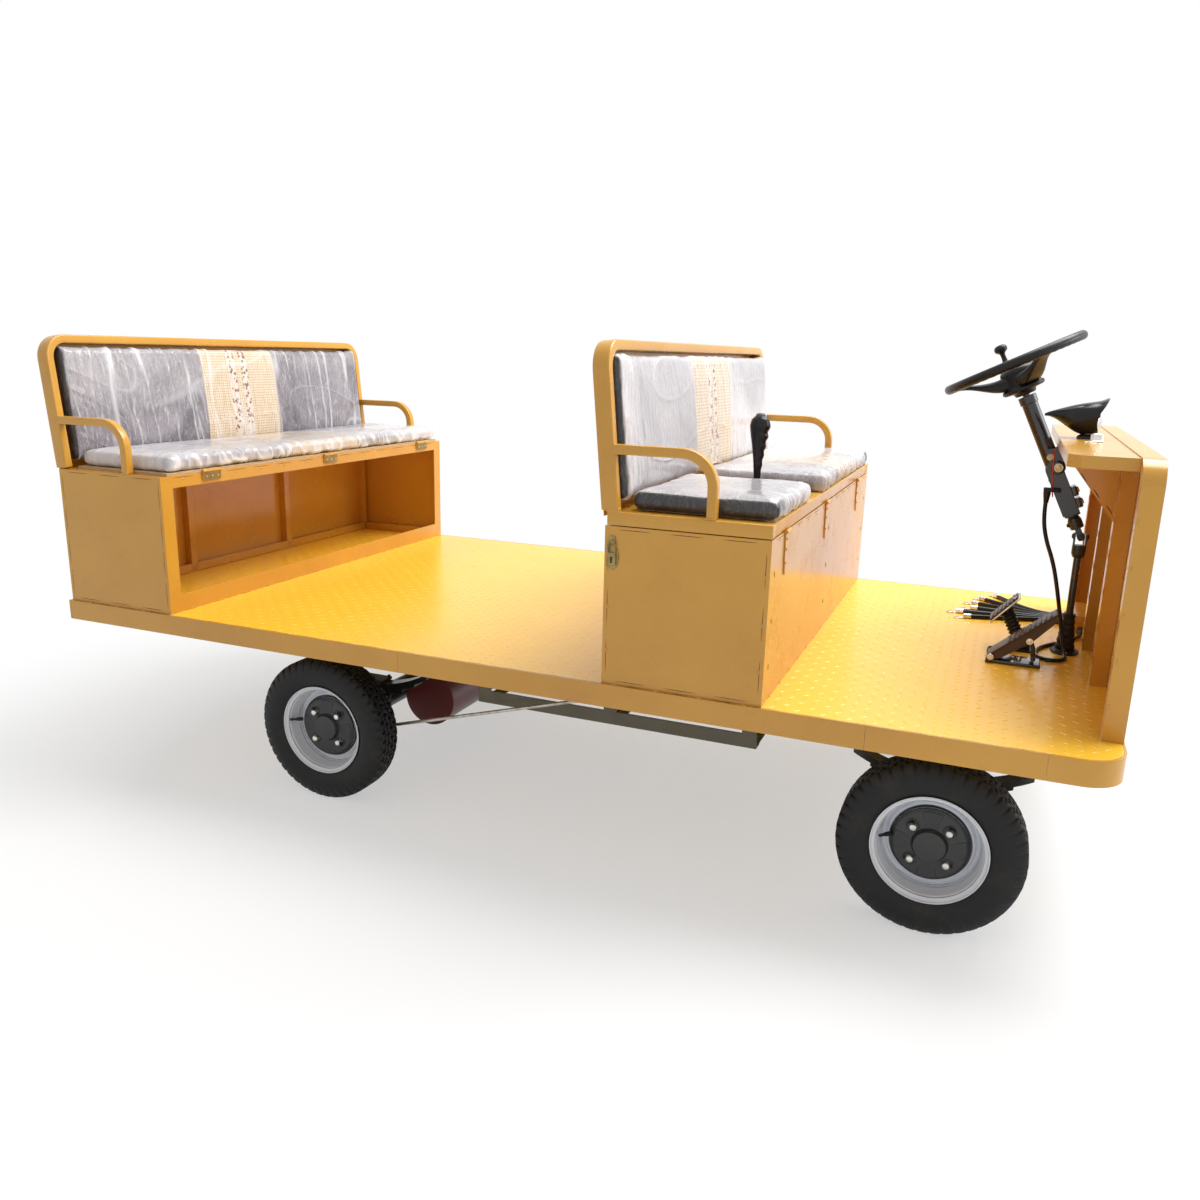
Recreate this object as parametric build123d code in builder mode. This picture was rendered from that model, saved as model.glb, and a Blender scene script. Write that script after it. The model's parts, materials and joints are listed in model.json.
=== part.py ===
"""Battery-electric platform truck with two box benches, an arched dash and sprung axles.

Millimetres. +X is forward, +Y is the truck's left, +Z is up. The origin is on the ground, at the
middle of the truck's length and width. Heights that start at the deck are measured from its top.
"""

from build123d import *
from math import atan2, cos, degrees, pi, radians, sin, sqrt, tan
import os

# Driving dimensions of the deck
deck_length = 3000
deck_width = 1560
deck_height = 570
plate_thick = 5
lip_height = 60
lip_thick = 6
front_corner = 90
lip_seams = (1223, 2466)
front_lip_start = 2845
seam = 0.5
touch = 0.3

# Driving dimensions of the underframe
rail_depth = 100
rail_width = 45
rail_wall = 6
rail_outer = 392
cross_depth = 80
cross_width = 50
outrigger_depth = 45

# Driving dimensions of the benches
bench_inset = 8
bench_depth = 414
sheet = 4
rim_width = 46
rear_bench_start = 0
rear_box_height = 414
driver_bench_start = 1810
driver_box_height = 398
seat_rail_height = 32
seat_rail_width = 36
seat_gap = 2
post_depth = 44
post_width = 26
post_set_back = 4
back_height = 400
back_lean = 5.5
back_corner = 72
back_sheet = 3
arm_tube = 24
arm_width = 26
arm_height = 160
arm_corner = 88
rear_arm_reach = 288
driver_arm_reach = 280
board_thick = 9
seat_thick = 46
back_cushion_thick = 44
cushion_side_gap = 3
cushion_edge = 14
front_overhang = 12
lever_gap = (460, 630)

# Driving dimensions of the dash
dash_width = 1290
dash_height = 615
dash_depth = 45
dash_set = 3
dash_corner = 58
dash_sheet = 4
shelf_reach = 140
shelf_lip = 28
shelf_inset = 55
post_places = (-207, 140)
dash_post = (38, 44)

# Driving dimensions of the steering
column_side = 80
joint_along = 2905
joint_height = 335
column_tilt = 26
column_radius = 21
column_bore = 17
shaft_radius = 10
wheel_reach = 516
hub_reach = 428
wheel_radius = 192
wheel_grip = 13
lower_shaft_radius = 10
boot_height = 110
gearbox_size = (130, 110, 120)
output_back = 45
arm_length = 120
pitman_drop = 165
link_radius = 11

# Driving dimensions of the axles and wheels
front_axle_along = 2624
rear_axle_along = 841
hub_height = 225
tyre_radius = 224
tyre_width = 108
track_half = 593
rim_radius = 140
rim_width_wheel = 92
bead_radius = 127
kingpin_half = 480
kingpin_radius = 11
steer_range = 30
beam = 50
spindle_radius = 15
hub_radius = 93
lug_circle = 65
spring_half = 365
spring_width = 50
leaf_thick = 8
leaf_count = 5
shaft_gap = 0.3

overhang = post_set_back + back_height * tan(radians(back_lean))
deck_rear = -(deck_length - overhang) / 2
deck_half = deck_width / 2
plate_under = deck_height - plate_thick
rail_under = plate_under - rail_depth
bench_half = deck_half - bench_inset


def fore(distance):
    """X of a place measured forward from the deck's rear edge."""
    return deck_rear + distance


def up(height):
    """Z of a place measured up from the deck's top."""
    return deck_height + height


os.makedirs("parts", exist_ok=True)
written = []


def save(solid, name):
    """Label one piece and write it to its own file."""
    solid.label = name
    export_step(solid, "parts/" + name + ".step")
    written.append(name)


def block(x0, x1, y0, y1, z0, z1):
    """Box between two corners, added to the open part."""
    with Locations(((x0 + x1) / 2, (y0 + y1) / 2, (z0 + z1) / 2)):
        Box(abs(x1 - x0), abs(y1 - y0), abs(z1 - z0))


# Deck: one plate inside folded lips
deck_middle = fore(deck_length / 2)
with BuildPart() as deck_plate:
    with BuildSketch(Plane.XY.offset(plate_under)) as plate_outline:
        with Locations((deck_middle, 0)):
            Rectangle(deck_length - 2 * (lip_thick + touch), deck_width - 2 * (lip_thick + touch))
        fillet(plate_outline.vertices().group_by(Axis.X)[-1], front_corner - lip_thick - touch)
        with Locations((fore(joint_along), column_side)):
            Circle(lower_shaft_radius + 8, mode=Mode.SUBTRACT)
    extrude(amount=plate_thick)
save(deck_plate.part, "deck_plate")

with BuildPart() as side_lips:
    for start, end in zip((0,) + lip_seams, lip_seams + (front_lip_start,)):
        for side in (-1, 1):
            block(fore(start) + (lip_thick + seam if start == 0 else 0), fore(end) - seam,
                  side * deck_half, side * (deck_half - lip_thick), deck_height - lip_height, deck_height)
    block(fore(0), fore(lip_thick), -deck_half, deck_half, deck_height - lip_height, deck_height)

with BuildPart() as front_lip:
    with BuildSketch(Plane.XY.offset(deck_height - lip_height)) as lip_outline:
        with Locations((deck_middle, 0)):
            Rectangle(deck_length, deck_width)
        fillet(lip_outline.vertices().group_by(Axis.X)[-1], front_corner)
        offset(lip_outline.sketch_local, amount=-lip_thick, mode=Mode.SUBTRACT)
        with Locations((fore(front_lip_start / 2), 0)):
            Rectangle(front_lip_start, deck_width + 2, mode=Mode.SUBTRACT)
    extrude(amount=lip_height)
save(side_lips.part + front_lip.part, "deck_lips")

# Underframe: two channels, cross members between them and outriggers to the lips
rack_start = 1290
rack_end = 2150
rack_posts = (rack_start + 22, (rack_start + rack_end) / 2, rack_end - 22)
cross_places = (60, 470) + rack_posts + (2700, 2955)
outrigger_places = (60,) + rack_posts + (2955,)
with BuildPart() as frame_rails:
    for side in (-1, 1):
        with BuildSketch(Plane.YZ.offset(fore(30))):
            with Locations((side * (rail_outer - rail_width / 2), plate_under - rail_depth / 2)):
                Rectangle(rail_width, rail_depth)
            with Locations((side * (rail_outer - rail_width / 2 - rail_wall), plate_under - rail_depth / 2)):
                Rectangle(rail_width, rail_depth - 2 * rail_wall, mode=Mode.SUBTRACT)
        extrude(amount=deck_length - 30 - lip_thick - 12)

rail_inner = rail_outer - rail_width
with BuildPart() as crossmembers:
    for place in cross_places:
        with BuildSketch(Plane.XZ.offset(-(rail_inner - touch))):
            with Locations((fore(place), plate_under - cross_depth / 2)):
                Rectangle(cross_width, cross_depth)
            with Locations((fore(place) - rail_wall, plate_under - cross_depth / 2)):
                Rectangle(cross_width, cross_depth - 2 * rail_wall, mode=Mode.SUBTRACT)
        extrude(amount=2 * (rail_inner - touch))
    for place in outrigger_places:
        reach = deck_half - lip_thick - touch
        if place > deck_length - front_corner:
            reach = deck_half - front_corner
        for side in (-1, 1):
            block(fore(place) - 20, fore(place) + 20, side * (rail_outer + touch), side * reach,
                  plate_under - outrigger_depth, plate_under)
save(frame_rails.part + crossmembers.part, "chassis_frame")

# Rack for the battery: angle rails hung on posts below the deck, with cross bars
rack_half = 455
rack_bar = 40
rack_rail_top = deck_height - 170
rack_rail_under = deck_height - 232
with BuildPart() as battery_rack:
    for side in (-1, 1):
        with BuildSketch(Plane.YZ.offset(fore(rack_start))):
            with Locations((side * (rack_half - rack_bar / 2), (rack_rail_top + rack_rail_under) / 2)):
                Rectangle(rack_bar, rack_rail_top - rack_rail_under)
            with Locations((side * (rack_half - rack_bar / 2 - 5), (rack_rail_top + rack_rail_under) / 2 + 5)):
                Rectangle(rack_bar, rack_rail_top - rack_rail_under, mode=Mode.SUBTRACT)
        extrude(amount=rack_end - rack_start)
        for place in rack_posts:
            block(fore(place) - 20, fore(place) + 20, side * rack_half, side * (rack_half - 5),
                  rack_rail_top, plate_under - outrigger_depth)
    for place in rack_posts:
        block(fore(place) - 20, fore(place) + 20, -(rack_half - rack_bar - touch), rack_half - rack_bar - touch,
              rack_rail_under, rack_rail_under + 5)
save(battery_rack.part, "battery_rack")


def bench_box(name, start, height, open_front):
    """Sheet box on the deck: four walls and an inward rim at the top, hollow to the deck."""
    x0, x1 = fore(start + bench_inset), fore(start + bench_depth)
    with BuildPart() as walls:
        with BuildSketch(Plane.XY.offset(deck_height)):
            with Locations(((x0 + x1) / 2, 0)):
                Rectangle(x1 - x0, 2 * bench_half)
                Rectangle(x1 - x0 - 2 * sheet, 2 * (bench_half - sheet), mode=Mode.SUBTRACT)
        extrude(amount=height)
        with BuildSketch(Plane.XY.offset(up(height - sheet))):
            with Locations(((x0 + x1) / 2, 0)):
                Rectangle(x1 - x0, 2 * bench_half)
                Rectangle(x1 - x0 - 2 * rim_width, 2 * (bench_half - rim_width), mode=Mode.SUBTRACT)
        extrude(amount=sheet)
        if open_front:
            block_cut(x1 - 2 * sheet, x1 + 1, bench_half - rim_width, up(56), up(height - 36))
            for place in (-285, 225, 742):
                block(x0 + sheet, x0 + sheet + 26, place - 14, place + 14, deck_height, up(height - sheet))
    save(walls.part, name)


def block_cut(x0, x1, half, z0, z1):
    """Box cut out of the open part, symmetrical across the truck."""
    with Locations(((x0 + x1) / 2, 0, (z0 + z1) / 2)):
        Box(abs(x1 - x0), 2 * half, abs(z1 - z0), mode=Mode.SUBTRACT)


bench_box("rear_box", rear_bench_start, rear_box_height, True)
bench_box("driver_box", driver_bench_start, driver_box_height, False)

# Back frames: a bent rectangular tube round a sheet, leaning back
seat_rail_top = driver_box_height + seat_gap + seat_rail_height
bench_table = (
    # name, start along the deck, height of the seat's frame, reach of the armrests
    ("rear", rear_bench_start, rear_box_height, rear_arm_reach),
    ("driver", driver_bench_start, seat_rail_top, driver_arm_reach),
)
bench_frames = {}
for name, start, seat, arm_reach in bench_table:
    base_x = fore(start - post_set_back + post_depth / 2)
    lean = Plane(origin=(base_x, 0, up(seat)), x_dir=(0, 1, 0), z_dir=(cos(radians(back_lean)), 0,
                                                                       sin(radians(back_lean))))
    with BuildPart() as back_frame:
        with BuildSketch(lean) as ring:
            with Locations((0, back_height / 2 - 20)):
                Rectangle(2 * bench_half, back_height + 40)
            fillet(ring.vertices().group_by(Axis.Y)[-1], back_corner)
            offset(ring.sketch_local, amount=-post_width, mode=Mode.SUBTRACT)
            with Locations((0, -20)):
                Rectangle(2 * (bench_half - post_width), 120, mode=Mode.SUBTRACT)
        extrude(amount=post_depth / 2, both=True)
        with BuildSketch(lean.offset(-post_depth / 2)):
            with Locations((0, back_height / 2 + 20)):
                Rectangle(2 * (bench_half - post_width), back_height - 40)
        extrude(amount=back_sheet)
        split(bisect_by=Plane.XY.offset(up(seat)), keep=Keep.TOP)

    with BuildPart() as armrests:
        for side in (-1, 1):
            post_front = base_x + post_depth / 2 / cos(radians(back_lean))
            drop = arm_height * tan(radians(back_lean))
            with BuildSketch(Plane.XZ.offset(-side * bench_half)) as arm:
                x_end = fore(start + arm_reach)
                with Locations(((base_x - 60 + x_end) / 2, up(seat + arm_height / 2))):
                    Rectangle(x_end - base_x + 60, arm_height)
                fillet(arm.vertices().group_by(Axis.X)[-1].sort_by(Axis.Y)[-1], arm_corner)
                with BuildSketch(mode=Mode.SUBTRACT) as inner:
                    with Locations(((base_x - 100 + x_end - arm_tube) / 2, up(seat + (arm_height - arm_tube) / 2))):
                        Rectangle(x_end - arm_tube - base_x + 100, arm_height - arm_tube + 0.01)
                    fillet(inner.vertices().group_by(Axis.X)[-1].sort_by(Axis.Y)[-1], arm_corner - arm_tube)
            extrude(amount=side * arm_width)
        split(bisect_by=lean.offset(post_depth / 2 - touch), keep=Keep.TOP)
    bench_frames[name] = back_frame.part + armrests.part

    with BuildPart() as back_cushion:
        with BuildSketch(lean.offset(back_sheet - post_depth / 2 + touch)) as pad:
            with Locations((0, back_height / 2 + 18)):
                RectangleRounded(2 * (bench_half - post_width - 8), back_height - 2 * post_width - 48, 30)
        extrude(amount=post_depth + 14)
        fillet(back_cushion.edges().filter_by(lambda e: e.length > 60).group_by(Axis.X)[-1], 8)
    save(back_cushion.part, name + "_back_cushion")

save(bench_frames["rear"], "rear_seat_frame")

# Seat board and cushion of the rear bench, hinged along the box's front edge
cushion_half = bench_half - arm_width - cushion_side_gap
hinge_radius = 5
hinge_reach = hinge_radius + touch
hinge_half = 38
hinge_leaf = 26
hinge_places = (-570, 18, 624)
rear_hinge_x = fore(rear_bench_start + bench_depth) + hinge_reach
rear_hinge_z = up(rear_box_height) + hinge_radius - 1
board_start = fore(rear_bench_start + 56)
board_end = fore(rear_bench_start + bench_depth) - 2
with BuildPart() as rear_seat_board:
    block(board_start, board_end, -cushion_half, cushion_half,
          up(rear_box_height) + touch, up(rear_box_height) + board_thick)
save(rear_seat_board.part, "rear_seat_board")

with BuildPart() as rear_hinges:
    for place in hinge_places:
        block(fore(rear_bench_start + bench_depth) + touch, rear_hinge_x, place - hinge_half, place + hinge_half,
              rear_hinge_z - hinge_leaf, rear_hinge_z)
        with Locations(Location((rear_hinge_x, place, rear_hinge_z), (90, 0, 0))):
            Cylinder(hinge_radius - 1, 2 * hinge_half)


def cushion(x0, x1, y0, y1, z0, z1):
    """Plain closed pad with rounded corners, added to the open part."""
    with BuildSketch(Plane.XY.offset(z0)) as pad_outline:
        with Locations(((x0 + x1) / 2, (y0 + y1) / 2)):
            RectangleRounded(x1 - x0, y1 - y0, cushion_edge)
    extrude(pad_outline.sketch, amount=z1 - z0)


with BuildPart() as rear_seat_cushion:
    cushion(board_start, board_end + front_overhang, -cushion_half, cushion_half,
            up(rear_box_height) + board_thick + touch, up(rear_box_height) + board_thick + seat_thick)
save(rear_seat_cushion.part, "rear_seat_cushion")

# Tipping seat frame of the driver's bench, hinged along the box's front edge
driver_rear = fore(driver_bench_start + bench_inset)
driver_front = fore(driver_bench_start + bench_depth)
driver_seat_z = up(seat_rail_top)
driver_hinge_x = driver_front + hinge_reach
driver_hinge_z = up(driver_box_height + seat_gap / 2)
lever_y = [place - deck_half for place in lever_gap]
with BuildPart() as driver_seat_frame:
    with BuildSketch(Plane.XY.offset(driver_seat_z - seat_rail_height)):
        with Locations(((driver_rear + driver_front) / 2, 0)):
            Rectangle(driver_front - driver_rear, 2 * bench_half)
            Rectangle(driver_front - driver_rear - 2 * seat_rail_width, 2 * (bench_half - seat_rail_width),
                      mode=Mode.SUBTRACT)
    extrude(amount=seat_rail_height)
    for y0, y1 in ((-bench_half + seat_rail_width, lever_y[0]), (lever_y[1], bench_half - seat_rail_width)):
        block(driver_rear + seat_rail_width, driver_front - seat_rail_width, y0, y1,
              driver_seat_z - sheet, driver_seat_z)
save(driver_seat_frame.part + bench_frames["driver"], "driver_seat_frame")

with BuildPart() as driver_hinges:
    strap_places = (-623, -78, 524)
    for place in strap_places:
        with Locations(Location((driver_hinge_x, place, driver_hinge_z), (90, 0, 0))):
            Cylinder(hinge_radius, 50)
        with BuildSketch(Plane.YZ.offset(driver_front + touch)):
            with BuildLine():
                Polyline((place - 14, driver_hinge_z), (place + 14, driver_hinge_z), (place + 9, driver_hinge_z - 70),
                         (place, driver_hinge_z - 108), (place - 9, driver_hinge_z - 70), close=True)
            make_face()
        extrude(amount=3)
save(rear_hinges.part + driver_hinges.part, "seat_hinges")

with BuildPart() as driver_seat_cushions:
    for y0, y1 in ((-cushion_half, lever_y[0]), (lever_y[1], cushion_half)):
        cushion(driver_rear + 44, driver_front + front_overhang, y0, y1, driver_seat_z + touch, driver_seat_z + seat_thick)
save(driver_seat_cushions.part, "driver_seat_cushions")

# Draw latches at the rear top corners of the driver's box
latch_x = driver_rear + 20
with BuildPart() as seat_latches:
    for side in (-1, 1):
        block(latch_x - 15, latch_x + 15, side * (bench_half + touch), side * (bench_half + 3),
              up(driver_box_height - 112), up(driver_box_height - 34))
        block(latch_x - 13, latch_x + 9, side * (bench_half + 3), side * (deck_half - 1),
              up(driver_box_height - 100), up(driver_box_height - 52))
save(seat_latches.part, "seat_latches")

# Travel lever, standing on the deck inside the driver's box
lever_along = 2050
lever_side = -220
lever_top = 650
with BuildPart() as travel_lever:
    with BuildSketch(Plane.XZ) as lever_half:
        with BuildLine():
            Polyline((0, 0), (8, 0), (8, 450), (14, 480), (27, 590))
            ThreePointArc((27, 590), (30, 620), (18, 642))
            Polyline((18, 642), (8, lever_top), (0, lever_top), (0, 0))
        make_face()
    revolve(axis=Axis.Z)
    with Locations((0, 0, 4)):
        Box(80, 60, 8)
save(travel_lever.part.moved(Location((fore(lever_along), lever_side, deck_height))), "travel_lever")

# Dash: an arched channel closed in front, standing on the deck
dash_front = fore(deck_length - dash_set)
dash_back = dash_front - dash_depth
flange = 30
with BuildPart() as dash_cowl:
    arch_table = (
        # back face, front face, inset of the outline, depth below the deck's top, what it does
        (dash_back, dash_front, 0, 0, Mode.ADD),
        (dash_back + dash_sheet, dash_front - dash_sheet, dash_sheet, 5, Mode.SUBTRACT),
        (dash_back - 5, dash_back + 2 * dash_sheet, flange, 5, Mode.SUBTRACT),
    )
    for back, front, inset, below, mode in arch_table:
        with BuildSketch(Plane.YZ.offset(back)) as outline:
            with Locations((0, up((dash_height - inset - below) / 2))):
                Rectangle(dash_width - 2 * inset, dash_height - inset + below)
            fillet(outline.vertices().group_by(Axis.Y)[-1], dash_corner - inset)
        extrude(amount=front - back, mode=mode)
save(dash_cowl.part, "dash_cowl")

with BuildPart() as dash_posts:
    for place in post_places:
        block(dash_back, dash_front - dash_sheet - touch, place - dash_post[0] / 2, place + dash_post[0] / 2,
              deck_height, up(dash_height - flange - touch))

shelf_half = dash_width / 2 - shelf_inset
shelf_back = dash_back - shelf_reach
shelf_top = up(dash_height - 3)
shelf_sheet = 3
gusset_drop = 190
with BuildPart() as dash_shelf:
    for inset, height, base in ((0, shelf_lip, shelf_top - shelf_lip),):
        with BuildSketch(Plane.XY.offset(base)) as tray:
            with Locations(((shelf_back + dash_back - touch) / 2, 0)):
                Rectangle(dash_back - touch - shelf_back, 2 * shelf_half)
            chamfer(tray.vertices().group_by(Axis.X)[0], 26)
        extrude(amount=height)
    with BuildSketch(Plane.XY.offset(shelf_top - shelf_lip - 1)) as hollow:
        with Locations(((shelf_back + dash_back) / 2 + 10, 0)):
            Rectangle(dash_back - shelf_back + 20 - 2 * shelf_sheet, 2 * (shelf_half - shelf_sheet))
        chamfer(hollow.vertices().group_by(Axis.X)[0], 25)
    extrude(amount=shelf_lip + 1 - shelf_sheet, mode=Mode.SUBTRACT)
    for place in post_places:
        with BuildSketch(Plane.XZ.offset(-place - 2.5)):
            with BuildLine():
                Polyline((shelf_back + 12, shelf_top - shelf_sheet + 1), (dash_back - touch, shelf_top - shelf_sheet + 1),
                         (dash_back - touch, shelf_top - gusset_drop), (shelf_back + 12, shelf_top - shelf_lip), close=True)
            make_face()
        extrude(amount=5)
save(dash_posts.part + dash_shelf.part, "dash_frame")

# Steering: everything above the joint lies along one tilted axis through its centre
tilt = radians(column_tilt)
joint = Vector(fore(joint_along), column_side, up(joint_height))
along = Vector(-sin(tilt), 0, cos(tilt))


def on_column(distance):
    """Plane square to the column at a distance up from the joint."""
    return Plane(origin=joint + along * distance, x_dir=(0, 1, 0), z_dir=along)


def rod(start, end, radius, bore=0):
    """Round bar on the column from one distance to another, added to the open part."""
    with BuildSketch(on_column(start)) as section:
        Circle(radius)
        if bore:
            Circle(bore, mode=Mode.SUBTRACT)
    extrude(section.sketch, amount=end - start)


column_start = 62
column_end = 416
bush = 22
with BuildPart() as steering_column:
    rod(column_start, column_end, column_radius, column_bore)
    rod(column_start, column_start + bush, column_radius - 1, shaft_radius + shaft_gap)
    rod(column_end - bush, column_end, column_radius - 1, shaft_radius + shaft_gap)
    for side in (-1, 1):
        with BuildSketch(Plane.XZ.offset(-(column_side + side * (column_radius - 2) + 2))):
            with BuildLine():
                low = joint + along * 205
                high = joint + along * 262
                Polyline((low.X, low.Z), (high.X, high.Z), (shelf_back + 8, shelf_top - shelf_lip - 6),
                         (shelf_back + 14, shelf_top - shelf_sheet - touch), (shelf_back + 84, shelf_top - shelf_sheet - touch),
                         (shelf_back + 84, shelf_top - 56), close=True)
            make_face()
        extrude(amount=4)
save(steering_column.part, "steering_column")

yoke_reach = 9
with BuildPart() as steering_shaft:
    rod(26, hub_reach, shaft_radius)
    rod(26, 48, 17)
    with Locations(joint):
        Sphere(8)
    for side in (-1, 1):
        with Locations(on_column((26 - yoke_reach) / 2 + 1).location * Pos(side * 15, 0, 0)):
            Box(5, 16, 26 + yoke_reach + 2)
    with Locations(Location(joint, (90, 0, 0))):
        Cylinder(4, 30)
save(steering_shaft.part, "steering_shaft")

ring_radius = wheel_radius - wheel_grip
spoke_count = 3
with BuildPart() as steering_wheel:
    with BuildSketch(Plane.XZ.offset(0)) as profile:
        with Locations((ring_radius, wheel_reach)):
            Circle(wheel_grip)
        with BuildLine():
            Polyline((0, hub_reach + touch), (52, hub_reach + touch), (56, hub_reach + 12), (70, wheel_reach - 18),
                     (64, wheel_reach - 6), (0, wheel_reach + 2), close=True)
        make_face()
    revolve(axis=Axis.Z)
    for turn in range(spoke_count):
        with Locations(Location((0, 0, 0), (0, 0, 90 + turn * 360 / spoke_count))):
            with Locations(((ring_radius + 40) / 2, 0, wheel_reach - 13)):
                Box(ring_radius - 40, 34, 10)
    with Locations((15, ring_radius, wheel_reach + 22)):
        Cylinder(7, 34)
    with Locations((15, ring_radius, wheel_reach + 48)):
        Sphere(19)
save(steering_wheel.part.moved(Location(Plane(origin=joint, x_dir=(cos(tilt), 0, sin(tilt)), z_dir=along))),
     "steering_wheel")

foot = Vector(fore(joint_along), column_side, plate_under)
with BuildPart() as lower_shaft:
    with BuildSketch(Plane.XY.offset(plate_under - 60)):
        with Locations((foot.X, foot.Y)):
            Circle(lower_shaft_radius)
    extrude(amount=joint.Z - 26 - plate_under + 60)
    with Locations((foot.X, foot.Y, joint.Z - 37)):
        Cylinder(17, 22)
    for side in (-1, 1):
        with Locations((foot.X + side * 15, foot.Y, joint.Z - 26 + (26 + yoke_reach) / 2 - 1)):
            Box(5, 16, 26 + yoke_reach + 2)
save(lower_shaft.part, "lower_shaft")

with BuildPart() as shaft_boot:
    with BuildSketch(Plane.XZ.offset(-column_side)):
        with BuildLine():
            Polyline((foot.X + lower_shaft_radius + shaft_gap, deck_height), (foot.X + 36, deck_height),
                     (foot.X + 36, up(6)), (foot.X + 24, up(10)), (foot.X + 22, up(80)),
                     (foot.X + 15, up(boot_height)), (foot.X + lower_shaft_radius + shaft_gap, up(boot_height)), close=True)
        make_face()
    revolve(axis=Axis((foot.X, foot.Y, 0), (0, 0, 1)))
save(shaft_boot.part, "shaft_boot")

output_x = foot.X - output_back
pitman_z = deck_height - pitman_drop
with BuildPart() as steering_gearbox:
    block(output_x - 46, foot.X + 20, column_side - gearbox_size[1] / 2, column_side + gearbox_size[1] / 2,
          plate_under - gearbox_size[2], plate_under)
    with Locations((foot.X, foot.Y, plate_under - 31)):
        Cylinder(lower_shaft_radius + shaft_gap, 62, mode=Mode.SUBTRACT)
    with Locations((output_x, foot.Y, plate_under - gearbox_size[2] + 15)):
        Cylinder(14 + shaft_gap, 30, mode=Mode.SUBTRACT)
save(steering_gearbox.part, "steering_gearbox")

pin_radius = 8
eye_radius = 17
eye_high = 16
with BuildPart() as pitman_arm:
    with Locations((output_x, foot.Y, (pitman_z + plate_under - gearbox_size[2] + 28) / 2)):
        Cylinder(14, plate_under - gearbox_size[2] + 28 - pitman_z)
    with BuildSketch(Plane.XY.offset(pitman_z)):
        with Locations((output_x - arm_length / 2, foot.Y)):
            SlotCenterToCenter(arm_length, 2 * eye_radius)
    extrude(amount=12)
    with Locations((output_x - arm_length, foot.Y, pitman_z - 12)):
        Cylinder(pin_radius, 26)
save(pitman_arm.part, "pitman_arm")

# Steered wheels: knuckles on kingpins, tie rod and drag link
front_x = fore(front_axle_along)
rear_x = fore(rear_axle_along)
arm_end_x = front_x - arm_length
lug_thick = 18
eye_half = 45
tie_z = hub_height - 35
drag_arm_z = hub_height + 120
drag_eye_drop = 21
drag_pin_end = drag_arm_z - drag_eye_drop - eye_high / 2 - 2
for name, side in (("right", -1), ("left", 1)):
    pin_y = side * kingpin_half
    with BuildPart() as knuckle:
        with Locations((front_x, pin_y, hub_height)):
            Cylinder(kingpin_radius, 2 * (eye_half + lug_thick))
        for level in (-1, 1):
            z = hub_height + level * (eye_half + seam + lug_thick / 2)
            block(front_x - 24, front_x + 24, pin_y - side * 20, pin_y + side * 40, z - lug_thick / 2, z + lug_thick / 2)
        block(front_x - 30, front_x + 30, pin_y + side * 28, pin_y + side * 42,
              hub_height - eye_half - lug_thick, hub_height + eye_half + lug_thick)
        with Locations(Location((front_x, pin_y + side * 52, hub_height), (90, 0, 0))):
            Cylinder(24, 22)
        with Locations(Location((front_x, side * (kingpin_half + 85), hub_height), (90, 0, 0))):
            Cylinder(spindle_radius, 84)
        arm_top = hub_height - eye_half - seam
        with BuildSketch(Plane.XY.offset(arm_top - 14)):
            with Locations((front_x - arm_length / 2, pin_y)):
                SlotCenterToCenter(arm_length, 2 * eye_radius)
        extrude(amount=14)
        with Locations((arm_end_x, pin_y, arm_top - 14 - 10)):
            Cylinder(pin_radius, 24)
        if side > 0:
            riser = drag_arm_z - hub_height - eye_half - lug_thick
            with Locations((front_x, pin_y, drag_arm_z - riser / 2)):
                Cylinder(16, riser)
            with BuildSketch(Plane.XY.offset(drag_arm_z)):
                with Locations((front_x - arm_length / 2, pin_y)):
                    SlotCenterToCenter(arm_length, 2 * eye_radius)
            extrude(amount=12)
            with Locations((arm_end_x, pin_y, (drag_arm_z + drag_pin_end) / 2)):
                Cylinder(pin_radius, drag_arm_z - drag_pin_end)
    save(knuckle.part, "knuckle_" + name)

tie_eye_z = hub_height - eye_half - seam - 14 - 2 - eye_high / 2
drag_low = Vector(arm_end_x, kingpin_half, drag_arm_z - drag_eye_drop)
drag_high = Vector(output_x - arm_length, column_side, pitman_z - 3 - eye_high / 2)
with BuildPart() as steering_links:
    with Locations(Location((arm_end_x, 0, tie_eye_z), (90, 0, 0))):
        Cylinder(link_radius * 0.7, 2 * kingpin_half)
    with BuildSketch(Plane(origin=drag_low, z_dir=drag_high - drag_low)):
        Circle(link_radius * 0.7)
    extrude(amount=(drag_high - drag_low).length)
    for place in (Vector(arm_end_x, -kingpin_half, tie_eye_z), Vector(arm_end_x, kingpin_half, tie_eye_z),
                  drag_low, drag_high):
        with Locations(place):
            Cylinder(eye_radius, eye_high)
    for place in (Vector(arm_end_x, -kingpin_half, tie_eye_z), Vector(arm_end_x, kingpin_half, tie_eye_z),
                  drag_low, drag_high):
        with Locations(place):
            Cylinder(pin_radius + shaft_gap, 60, mode=Mode.SUBTRACT)
save(steering_links.part, "steering_links")

axle_eye = 22
with BuildPart() as front_axle:
    block(front_x - beam / 2, front_x + beam / 2, -kingpin_half, kingpin_half, hub_height - beam / 2, hub_height + beam / 2)
    for side in (-1, 1):
        with Locations((front_x, side * kingpin_half, hub_height)):
            Cylinder(axle_eye + 4, beam, mode=Mode.SUBTRACT)
            Cylinder(axle_eye + 4, 2 * eye_half)
            Cylinder(kingpin_radius + shaft_gap, 2 * eye_half, mode=Mode.SUBTRACT)
        block(front_x - beam / 2, front_x + beam / 2, side * (spring_half - 28), side * (spring_half + 28),
              hub_height + beam / 2, hub_height + beam / 2 + 13)
save(front_axle.part, "front_axle")

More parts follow.
